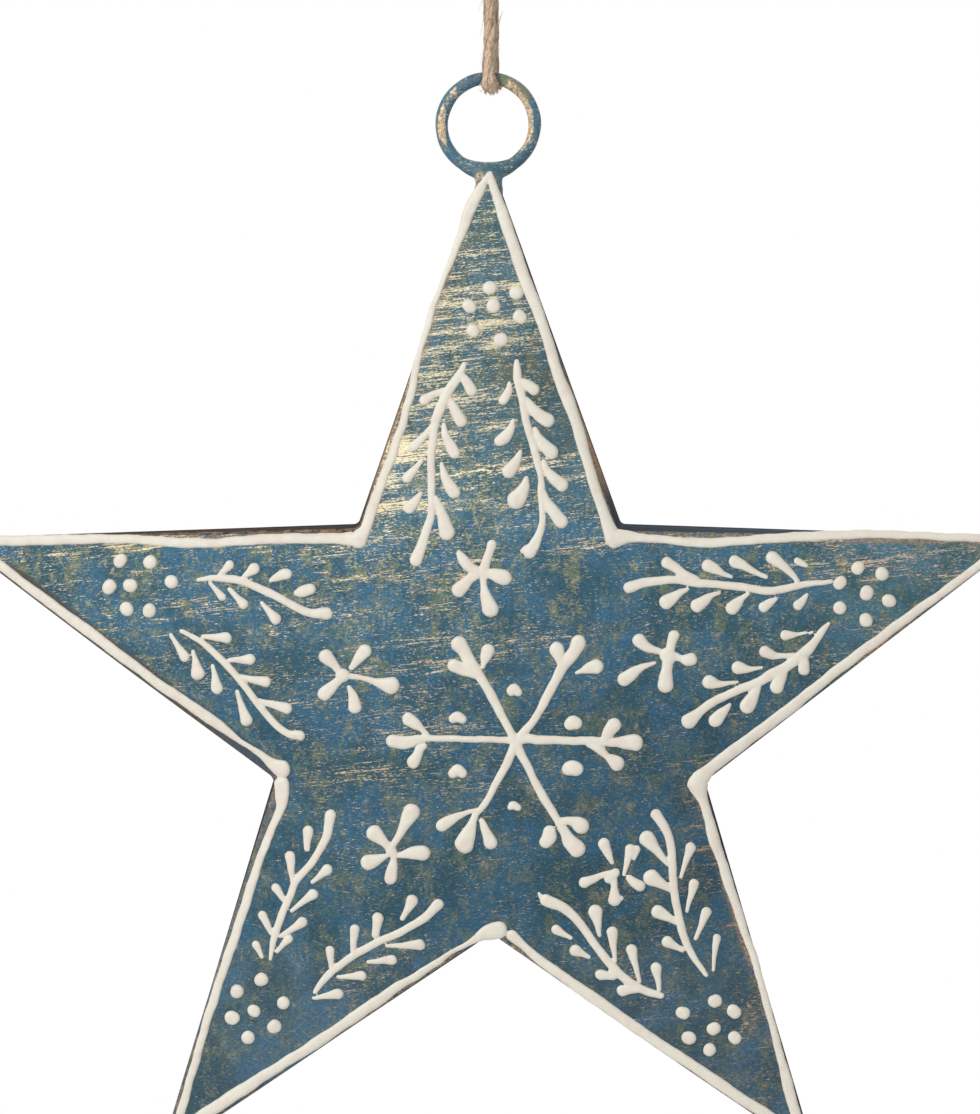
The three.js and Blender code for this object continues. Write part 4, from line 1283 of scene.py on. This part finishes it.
DOTS = {
    "top": [(490, 288), (516, 293), (469, 306), (493.5, 306), (520, 317), (473, 331), (501, 340)],
    "left": [(120, 560.5), (150, 562), (109, 587), (130, 585.5), (171, 582), (126.5, 609), (149, 611)],
    "right": [(858, 568), (882, 574), (840, 583), (866.5, 593), (889, 601), (840, 608), (866, 620)],
    "lower_left": [(261, 980), (237, 992), (283, 1003), (254, 1011), (232, 1018), (274, 1027), (248, 1038)],
    "lower_right": [
        (715, 1001), (683, 1013), (734, 1012), (714, 1029), (688.5, 1038), (735, 1038), (709.5, 1050),
    ],
}

FLAKE_DOTS = [
    [(511, 691.5, 4.6), (514.5, 689, 5.2), (517.5, 692, 4.4)],
    [(453, 719, 4.3), (457.5, 717, 5.4), (462, 719, 4.3)],
    [(570, 724, 6.0), (573, 722.5, 6.7), (576, 723.5, 5.9)],
    [(452.8, 773.5, 4.6), (457.5, 770.5, 5.7), (462.2, 773.3, 4.9)],
    [(569, 769, 6.9), (572.5, 768, 7.6), (576, 769, 6.9)],
    [(509.5, 808, 2.4), (513, 805.5, 4.1), (517.5, 807.5, 3.5)],
]

# The border line, edge by edge round the star: pixels across, pixels down, half width in pixels
BORDER = [
    [(490, 174, 2.6), (493, 185, 4.0), (497.7, 200, 4.7), (502.8, 215, 5.4), (508, 230, 5.7),
     (518, 260, 5.6), (528.8, 290, 5.9), (535.3, 305, 5.4), (541, 320, 5.1), (550.5, 350, 5.0),
     (559.5, 380, 5.6), (568, 400, 6.0), (575, 420, 5.2), (581, 440, 5.3), (586.7, 460, 4.8),
     (592.5, 480, 4.8), (599.3, 500, 5.0), (606, 520, 5.4), (611, 533, 7.0)],
    [(614.5, 538.8, 9.2), (624, 537.5, 6.8), (640, 537.9, 4.2), (660, 539.4, 3.7), (680, 541.3, 4.0),
     (700, 542.9, 4.6), (720, 542.4, 4.5), (740, 541, 4.1), (760, 539.4, 4.3), (800, 537, 4.5),
     (840, 535.2, 4.3), (862, 534.4, 4.2), (882, 534.2, 3.7), (900, 535.3, 4.0), (918, 535.2, 3.4),
     (940, 537, 3.8), (979, 538.2, 4.0), (992, 539.6, 4.0), (998, 542.6, 3.8)],
    [(998, 542.6, 3.8), (995, 550.5, 3.9), (979, 565.4, 3.9), (960, 579.6, 3.9), (940, 594.5, 3.9),
     (920, 608.6, 4.3), (900, 623.2, 4.5), (880, 638.5, 4.7), (860, 653.1, 4.7), (840, 668.3, 4.9),
     (820, 684, 4.7), (800, 700.5, 5.2), (780, 716.2, 5.5), (760, 731, 5.2), (740, 746, 5.7),
     (720, 761, 5.9), (708, 771, 6.0), (700, 779, 8.6)],
    [(697.5, 784, 10.0), (700.5, 794, 6.2), (703.8, 802, 4.6), (708.7, 820, 4.5), (713.5, 838, 5.3),
     (721, 860, 4.4), (727.3, 880, 4.7), (734, 900, 4.2), (740.6, 920, 3.9), (747.2, 940, 3.5),
     (754.6, 960, 3.4), (760, 980, 3.2), (765.2, 1000, 3.4), (771, 1020, 3.3), (775.8, 1040, 3.5),
     (781.4, 1060, 3.9), (786.2, 1080, 5.0), (791.6, 1100, 5.1), (798, 1124, 4.8), (801.5, 1135.5, 4.3)],
    [(801.5, 1135.5, 4.3), (790, 1130, 4.9), (760, 1110.4, 5.2), (740, 1098.3, 5.4), (720, 1084.4, 5.5),
     (700, 1070.6, 5.5), (680, 1057.7, 5.5), (660, 1044.2, 5.3), (640, 1031, 5.4), (620, 1016.6, 5.3),
     (600, 1002.8, 5.6), (580, 989, 5.5), (560, 975, 5.1), (540, 960.4, 4.7), (524, 946.5, 4.3),
     (512, 936, 5.6)],
    [(498.5, 930, 8.6), (491, 931.8, 8.2), (482, 935.5, 5.6), (470, 942.4, 2.8), (459, 948.6, 2.1),
     (449, 954, 2.1), (440, 960.2, 3.0), (428, 968.4, 3.4), (418, 975.2, 3.8), (409, 980, 3.6),
     (398, 986.5, 4.4), (380, 999.4, 5.1), (360, 1013, 5.5), (340, 1027, 4.8), (320, 1040.6, 5.5),
     (300, 1053.6, 5.0), (280, 1065.8, 4.9), (260, 1078.6, 5.3), (240, 1091.4, 6.1), (220, 1104.5, 6.0),
     (196, 1120, 5.6), (173, 1140.5, 4.4)],
    [(173, 1140.5, 4.2), (179, 1119, 4.2), (184.4, 1100, 4.1), (189.8, 1080, 3.8), (196, 1060, 4.0),
     (201.2, 1040, 3.8), (207, 1020, 4.1), (213.6, 1000, 4.4), (219.8, 980, 4.2), (226.8, 960, 4.4),
     (233.6, 940, 4.6), (240.2, 920, 4.5), (246.8, 900, 4.6), (252.8, 880, 4.5), (259.6, 860, 3.9),
     (267, 840, 4.1), (275.6, 820, 3.9), (280.5, 808, 4.9), (282, 797, 6.8), (281.6, 784, 7.4)],
    [(281, 769, 9.2), (272, 764, 5.8), (261, 755, 3.6), (250, 747.5, 2.5), (240, 741, 2.7),
     (230, 733.6, 3.8), (220, 726.2, 4.9), (200, 712.2, 5.3), (180, 698.5, 5.0), (160, 685.4, 4.9),
     (140, 670.2, 4.9), (120, 655.5, 5.2), (100, 640.1, 5.4), (80, 625.2, 5.2), (60, 610.8, 4.8),
     (40, 595.8, 4.6), (20, 581, 4.5), (0, 565.4, 4.6), (-23, 548.5, 4.4)],
    [(-23, 547.5, 4.4), (-12, 541.5, 4.8), (0, 541, 5.0), (60, 540, 4.9), (100, 539.1, 4.4),
     (140, 539.8, 4.2), (160, 541.6, 4.6), (180, 542.8, 4.8), (200, 543.2, 4.7), (219, 543, 4.2),
     (232, 541.6, 4.5), (260, 539.7, 4.7), (280, 538.9, 4.8), (300, 538.8, 4.9), (320, 538.7, 4.9),
     (340, 538.8, 5.4), (350, 539, 7.0)],
    [(358.5, 539.5, 9.0), (365, 530, 5.4), (369.8, 515, 5.3), (375.2, 500, 5.0), (380.4, 485, 4.6),
     (386.2, 470, 4.2), (392.2, 455, 4.5), (396.8, 440, 3.9), (402.4, 425, 3.9), (405.9, 410, 3.7),
     (410.5, 395, 3.9), (414, 380, 3.7), (416.4, 365, 3.4), (420.2, 350, 2.5), (425, 335, 3.0),
     (429.4, 320, 3.2), (433.6, 305, 2.7), (439.4, 290, 2.3), (445.3, 275, 2.6), (451.4, 260, 3.0),
     (457, 245, 3.4), (462.8, 230, 4.4), (467.8, 215, 5.5), (474, 200, 5.6), (479.6, 190, 5.0),
     (485.6, 180.5, 3.2), (489.2, 174.5, 2.4)],
]


# Pieces

def finish_piece(thing, body, nodes=()):
    """Says which body a piece rides and which of the CAD's pieces it stands in for."""
    if body is not None:
        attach(thing, body)
    if nodes:
        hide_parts(*nodes)


def paint_piece(name, strokes, nodes=()):
    """Raised paint on the star, from strokes in pixels."""
    finish_piece(paint_mesh(name, strokes), "star", nodes)


def join(parts, name):
    """One object from several, with their meshes merged."""
    with bpy.context.temp_override(active_object=parts[0], object=parts[0], selected_objects=parts,
                                   selected_editable_objects=parts):
        bpy.ops.object.join()
    parts[0].name = name
    parts[0].data.name = name
    return parts[0]


def settled(thing):
    """The object with its modifiers made part of its mesh."""
    bpy.context.view_layer.update()
    evaluated = thing.evaluated_get(bpy.context.evaluated_depsgraph_get())
    mesh = bpy.data.meshes.new_from_object(evaluated)
    thing.modifiers.clear()
    thing.data = mesh
    thing.data.name = thing.name
    return thing


def hump(angle, middle, width):
    """A smooth rise round one angle, given in degrees; the others are in radians."""
    middle = math.radians(middle)
    apart = math.atan2(math.sin(angle - middle), math.cos(angle - middle))
    return math.exp(-(apart / width) ** 2)


def on_ring(out, turn, depth):
    """A point in metres from its distance to the ring's middle, its angle and its depth in millimetres."""
    return ((out * math.cos(turn) + RING_ASIDE) * MM, depth * MM, (out * math.sin(turn) + RING_Z) * MM)


def knot_core(side):
    """One strand's way through the knot, pinched at half height."""
    points = []
    for share in np.linspace(0, 1, 6):
        turn = math.pi * (0.5 + side * 0.5) + share * math.pi / 2
        reach = 1.35 * (1 - 0.5 * math.sin(math.pi * share))
        height = OVER_KNOT_Z + 0.2 + share * (UNDER_KNOT_Z - OVER_KNOT_Z - 0.4)
        points.append((reach * math.cos(turn), reach * math.sin(turn), height))
    return points


def knot_coil(side):
    """One strand's turns round the knot, with a short cut end that leaves it straight."""
    coil = []
    for share in np.linspace(0, 1, 19):
        turn = math.pi * (0.5 + side * 0.5) + share * math.pi * 3.1
        swell = math.sin(math.pi * share * 1.25) ** 0.5 if share < 0.8 else 1
        reach = 1.0 + 1.5 * min(1, swell + 0.15)
        coil.append(np.array([reach * math.cos(turn), reach * math.sin(turn), KNOT_Z + 2.5 - 4.6 * share]))
    last = coil[-1]
    way = (last - coil[-2]) / np.linalg.norm(last - coil[-2])
    return coil + [last + way * reach + np.array([0, 0, -0.12 * reach]) for reach in (1.6, 3.2, 4.8)]


def ring_mesh():
    """The wire ring, with a record of where brass shows, where it is rubbed bright and where a painted glint
    lies, and where the paint is dull.
    """
    size = sizes()
    thick = size.wire_radius / MM
    steps = by_detail(160)
    sides = by_detail(24)
    vertices = []
    rubbed = []
    tarnished = []
    for turn in full_turn(steps):
        left = hump(turn, 182, 0.5)
        right = hump(turn, 2, 0.85)
        high = hump(turn, 60, 0.45)
        # A painted highlight: glint puts bright brass on the ring's upper left, added to the rubbed places
        # below
        glint = hump(turn, 136, 0.22)
        dull = hump(turn, 52, 0.55)
        for phi in full_turn(sides):
            on_front = max(0, -math.sin(phi))
            on_inside = max(0, -math.cos(phi - 0.5))
            rubbed.append(0.8 * left * on_front ** 2.4 + 0.92 * right * on_inside ** 1.5
                          + 0.36 * high * on_front + 0.38 * glint * on_front)
            tarnished.append(dull * min(1, 0.35 + on_front))
            uneven = 1 + 0.025 * math.sin(3 * turn + 2 * phi) + 0.02 * math.sin(7 * turn + 1)
            uneven = uneven + 0.015 * math.sin(5 * phi + 11 * turn)
            out = size.ring_radius / MM + 0.05 * math.sin(2 * turn + 0.6) + thick * uneven * math.cos(phi)
            vertices.append(on_ring(out, turn, thick * uneven * math.sin(phi)))
    ring = mesh_object("wire_ring", vertices, tube_faces(steps, sides, True), ring_material())
    float_layer(ring, "rub", rubbed)
    float_layer(ring, "tarnish", tarnished)
    return ring


# Half widths of the neck in millimetres at heights above the star's middle, and half its depth
NECK = [(95.5, 1.9), (97.0, 2.45), (98.4, 2.55), (99.4, 2.5), (100.1, 2.6), (100.7, 2.9), (101.3, 3.3),
        (101.9, 3.3), (102.5, 2.4)]
NECK_DEPTH = 2.12


def neck_column():
    """The neck's upright part, hollow-sided, from the tip up into the ring's wire."""
    vertices = []
    sides = 28
    for height, half in NECK:
        for phi in full_turn(sides):
            c = math.cos(phi)
            s = math.sin(phi)
            x = half * math.copysign(abs(c) ** 0.75, c) + RING_ASIDE * min(1, (height - 94) / 7)
            vertices.append((x, NECK_DEPTH * math.copysign(abs(s) ** 0.8, s), height))
    return mesh_object("neck_column", place(vertices), tube_faces(len(NECK), sides), ring_material())


def neck_cuff():
    """The solder that has run along the ring's lowest arc, thickest in the middle."""
    size = sizes()
    vertices = []
    sides = 16
    rings = 15
    for i in range(rings):
        share = i / (rings - 1) * 2 - 1
        turn = math.radians(-90 + share * 39)
        thick = size.wire_radius / MM - 0.08 + 0.64 * (1 - share ** 2) ** 1.4
        for phi in full_turn(sides):
            out = size.ring_radius / MM + thick * math.cos(phi)
            vertices.append(on_ring(out, turn, thick * 1.06 * math.sin(phi)))
    return mesh_object("neck_cuff", vertices, tube_faces(rings, sides), ring_material())


def neck_mesh():
    """Solder from the ring's lowest arc down over the tip, in one smooth lump."""
    neck = join([neck_column(), neck_cuff()], "neck_solder")
    remesh = neck.modifiers.new("one lump", "REMESH")
    remesh.mode = "VOXEL"
    remesh.voxel_size = by_detail(0.14) * MM
    remesh.use_smooth_shade = True
    smooth = neck.modifiers.new("soften", "SMOOTH")
    smooth.factor = 0.5
    smooth.iterations = 8
    neck = settled(neck)
    spots = np.zeros(len(neck.data.vertices) * 3)
    neck.data.vertices.foreach_get("co", spots)
    x, y, z = spots.reshape(-1, 3).T / MM
    z = z - STAR_Z
    rub = 0.9 * np.exp(-((x + 2.1) / 1.1) ** 2 - ((z - 99.9) / 1.8) ** 2)
    rub = rub + 1.1 * np.exp(-((x + 0.8) / 0.9) ** 2 - ((z - 97.2) / 1.3) ** 2)
    float_layer(neck, "rub", rub * (y < 0))
    return neck


def seam_mesh():
    """The thin line of solder round the seam, half sunk between the shells."""
    outline, outs = star_outline(by_detail(1.2))
    sides = 8
    vertices = []
    for (x, z), (out_x, out_z) in zip(outline - outs * 0.22, outs):
        for angle in full_turn(sides):
            out = np.array([out_x * math.cos(angle), math.sin(angle), out_z * math.cos(angle)])
            vertices.append(np.array([x, 0, z]) + 0.3 * out)
    faces = tube_faces(len(outline), sides, True)
    seam = mesh_object("seam_solder", place(vertices), faces, wall_material())
    float_layer(seam, "rim", np.full(len(vertices), RIM_SEAM))
    return seam


# The floor in metres, and each lamp's name, place in metres, power in watts and width in metres
FLOOR_RADIUS = 0.75
FLOOR_Z = -0.40
LAMPS = (("key", (-0.75, -0.95, 0.55), 12.6, 0.7), ("fill", (0.9, -1.0, -0.1), 2.0, 0.9),
         ("rear", (0.3, 0.9, 0.5), 5.0, 0.8))


def floor_mesh():
    """A round floor under the star, made of flat wedges that meet a little behind its middle."""
    steps = 64
    points = [(0, 0.25, FLOOR_Z)]
    for turn in full_turn(steps):
        points.append((FLOOR_RADIUS * math.cos(turn), FLOOR_RADIUS * math.sin(turn), FLOOR_Z))
    faces = [(0, 1 + k, 1 + (k + 1) % steps) for k in range(steps)]
    return mesh_object("studio_floor", points, faces, material_of("studio floor", floor_nodes), smooth=False)


# Operators

class MakeCamera(bpy.types.Operator):
    """Puts the camera at the photograph's viewing angle"""

    bl_idname = "tin_star.make_camera"
    bl_label = "Camera"

    def execute(self, context):
        eye, turned = camera_axes()
        data = bpy.data.cameras.new("photo_camera")
        data.sensor_fit = "AUTO"
        data.sensor_width = SENSOR_WIDTH
        data.lens = CAMERA_LENS
        data.clip_start = 0.01
        data.clip_end = 20
        camera = bpy.data.objects.new("photo_camera", data)
        camera.matrix_world = Matrix.Translation(eye) @ turned.to_4x4()
        context.scene.collection.objects.link(camera)
        context.scene.camera = camera
        return {"FINISHED"}


class MakeTwine(bpy.types.Operator):
    """Makes the eye above the knot and the two strands down to the ring"""

    bl_idname = "tin_star.make_twine"
    bl_label = "Twine"

    def execute(self, context):
        radius = sizes().twine_radius / MM
        left = [(-1.35, 0, OVER_KNOT_Z), (-2.5, 0, -22), (-4.875, 0, -15), (-6.5, 0, -6.6), (-4.68, 0, -1.2)]
        right = [(-x, y, z) for x, y, z in reversed(left)]
        eye, line = twine_mesh("jute_eye", left + [(0, 0, 1.15)] + right, radius, 3, hairs=34)
        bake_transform(eye)
        finish_piece(eye, None, ["twine_eye"])
        wrap = sizes().wire_radius / MM + 0.95
        z = RING_TOP_Z
        front = [(-0.1, -1.35, UNDER_KNOT_Z), (-0.25, -1.45, -40), (-0.15, -1.75, -47),
                 (-0.35, -wrap, z + 2.4), (-0.4, -wrap, z), (-0.4, -wrap * 0.74, z - wrap * 0.66)]
        back = [(0.1, 1.35, UNDER_KNOT_Z), (0.1, 1.45, -40), (0.2, 1.75, -47), (0.1, wrap, z + 2.4),
                (0, wrap, z), (-0.2, wrap * 0.74, z - wrap * 0.66)]
        points = front + [(-0.35, 0, z - wrap * 0.95)] + back[::-1]
        strands, line = twine_mesh("jute_strands", points, radius, 8, broad_bight, hairs=46, fray=34)
        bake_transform(strands)
        finish_piece(strands, None, ["twine_strands"])
        return {"FINISHED"}


class MakeKnot(bpy.types.Operator):
    """Makes the knot: the twine wound round itself, with two short cut ends"""

    bl_idname = "tin_star.make_knot"
    bl_label = "Knot"

    def execute(self, context):
        parts = []
        for side in (-1, 1):
            parts.append(twine_mesh(f"core{side}", knot_core(side), 0.95, 20 + side, hairs=0)[0])
            parts.append(twine_mesh(f"coil{side}", knot_coil(side), 1.02, 30 + side, hairs=16)[0])
        finish_piece(join(parts, "jute_knot"), "knot", ["twine_knot"])
        return {"FINISHED"}


class MakeShells(bpy.types.Operator):
    """Makes the two pressed halves of the star and the solder line between them"""

    bl_idname = "tin_star.make_shells"
    bl_label = "Shells"

    def execute(self, context):
        finish_piece(shell_mesh("tin_front", 1), "star", ["front_shell"])
        finish_piece(shell_mesh("tin_back", -1), "star", ["back_shell"])
        finish_piece(seam_mesh(), "star", ())
        return {"FINISHED"}


class MakeRing(bpy.types.Operator):
    """Makes the wire ring and the solder neck at the top tip"""

    bl_idname = "tin_star.make_ring"
    bl_label = "Ring and neck"

    def execute(self, context):
        finish_piece(ring_mesh(), "star", ["hanging_ring"])
        finish_piece(neck_mesh(), "star", ["solder_neck"])
        return {"FINISHED"}


class MakeBorder(bpy.types.Operator):
    """Makes the line of raised paint round the face"""

    bl_idname = "tin_star.make_border"
    bl_label = "Border"

    def execute(self, context):
        paint_piece("border_line", BORDER, ["paint_border"])
        return {"FINISHED"}


class MakeSnowflake(bpy.types.Operator):
    """Makes the six-rayed flake in the middle"""

    bl_idname = "tin_star.make_snowflake"
    bl_label = "Snowflake"

    def execute(self, context):
        paint_piece("painted_snowflake", SNOWFLAKE, ["paint_snowflake"])
        return {"FINISHED"}


class MakeFlowers(bpy.types.Operator):
    """Makes the five flowers, one on each arm"""

    bl_idname = "tin_star.make_flowers"
    bl_label = "Flowers"

    def execute(self, context):
        for name, strokes in FLOWERS.items():
            paint_piece(f"painted_flower_{name}", strokes, [f"flower_{name}"])
        return {"FINISHED"}


class MakeSprigs(bpy.types.Operator):
    """Makes the leafy stems, two on each arm"""

    bl_idname = "tin_star.make_sprigs"
    bl_label = "Sprigs"

    def execute(self, context):
        for name, strokes in SPRIGS.items():
            paint_piece(f"painted_sprig_{name}", strokes, [f"sprig_{name}"])
        return {"FINISHED"}


class MakeDots(bpy.types.Operator):
    """Makes the rings of paint dots on the arms and between the flake's rays"""

    bl_idname = "tin_star.make_dots"
    bl_label = "Dots"

    def execute(self, context):
        rng = np.random.default_rng(5)
        for name, spots in DOTS.items():
            strokes = []
            for x, y in spots:
                radius = rng.uniform(6.0, 6.8)
                dx, dy = rng.uniform(-0.9, 0.9, 2)
                strokes.append([(x - dx, y - dy, radius), (x + dx, y + dy, radius * 0.97)])
            paint_piece(f"painted_dots_{name}", strokes)
        paint_piece("painted_dots_snowflake", FLAKE_DOTS)
        return {"FINISHED"}


class MakeStage(bpy.types.Operator):
    """Makes the pale floor, the white world and the soft studio lights"""

    bl_idname = "tin_star.make_stage"
    bl_label = "Stage"

    def execute(self, context):
        scene = context.scene
        scene.view_settings.view_transform = "Standard"
        world = bpy.data.worlds.new("studio")
        scene.world = world
        world.use_nodes = True
        tree = world.node_tree
        tree.nodes.clear()
        white = (1, 1, 1, 1)
        light = add_node(tree, "ShaderNodeBackground", {"Color": white, "Strength": 0.32})
        seen = add_node(tree, "ShaderNodeBackground", {"Color": white, "Strength": 1.0})
        path = tree.nodes.new("ShaderNodeLightPath").outputs
        straight = larger(Signal(path["Is Camera Ray"]), Signal(path["Is Transmission Ray"]))
        either = larger(straight, Signal(path["Is Glossy Ray"]))
        blend = add_node(tree, "ShaderNodeMixShader", {
            0: either, 1: Signal(light.outputs[0]), 2: Signal(seen.outputs[0])})
        add_node(tree, "ShaderNodeOutputWorld", {"Surface": Signal(blend.outputs[0])})
        floor_mesh()
        for name, spot, power, wide in LAMPS:
            data = bpy.data.lights.new(name, "AREA")
            data.energy = power
            data.size = wide
            lamp = bpy.data.objects.new(name, data)
            lamp.location = spot
            aim = Vector((0, 0, STAR_Z * MM)) - Vector(spot)
            lamp.rotation_euler = aim.to_track_quat("-Z", "Y").to_euler()
            scene.collection.objects.link(lamp)
        return {"FINISHED"}


OPERATORS = (MakeCamera, MakeTwine, MakeKnot, MakeShells, MakeRing, MakeBorder, MakeSnowflake, MakeFlowers,
             MakeSprigs, MakeDots, MakeStage)


class StarPanel(bpy.types.Panel):
    """Lists the pieces of the tin star"""

    bl_label = "Tin Star"
    bl_idname = "VIEW3D_PT_tin_star"
    bl_space_type = "VIEW_3D"
    bl_region_type = "UI"
    bl_category = "Tin Star"

    def draw(self, context):
        column = self.layout.column(align=True)
        for operator in OPERATORS:
            column.operator(operator.bl_idname)
        for group in (context.scene.tin_star_sizes, context.scene.tin_star_colours):
            box = self.layout.box()
            for name in group.bl_rna.properties.keys():
                if name not in {"rna_type", "name"}:
                    box.prop(group, name)


CLASSES = (StarSizes, StarColours) + OPERATORS + (StarPanel,)


def register():
    for kind in CLASSES:
        bpy.utils.register_class(kind)
    bpy.types.Scene.tin_star_sizes = bpy.props.PointerProperty(type=StarSizes)
    bpy.types.Scene.tin_star_colours = bpy.props.PointerProperty(type=StarColours)


def unregister():
    del bpy.types.Scene.tin_star_colours
    del bpy.types.Scene.tin_star_sizes
    for kind in reversed(CLASSES):
        bpy.utils.unregister_class(kind)


def main():
    """Makes every piece in order."""
    register()
    bpy.ops.tin_star.make_camera()
    bpy.ops.tin_star.make_twine()
    bpy.ops.tin_star.make_knot()
    bpy.ops.tin_star.make_shells()
    bpy.ops.tin_star.make_ring()
    bpy.ops.tin_star.make_border()
    bpy.ops.tin_star.make_snowflake()
    bpy.ops.tin_star.make_flowers()
    bpy.ops.tin_star.make_sprigs()
    bpy.ops.tin_star.make_dots()
    bpy.ops.tin_star.make_stage()
    bpy.context.view_layer.update()


if __name__ == "__main__":
    main()
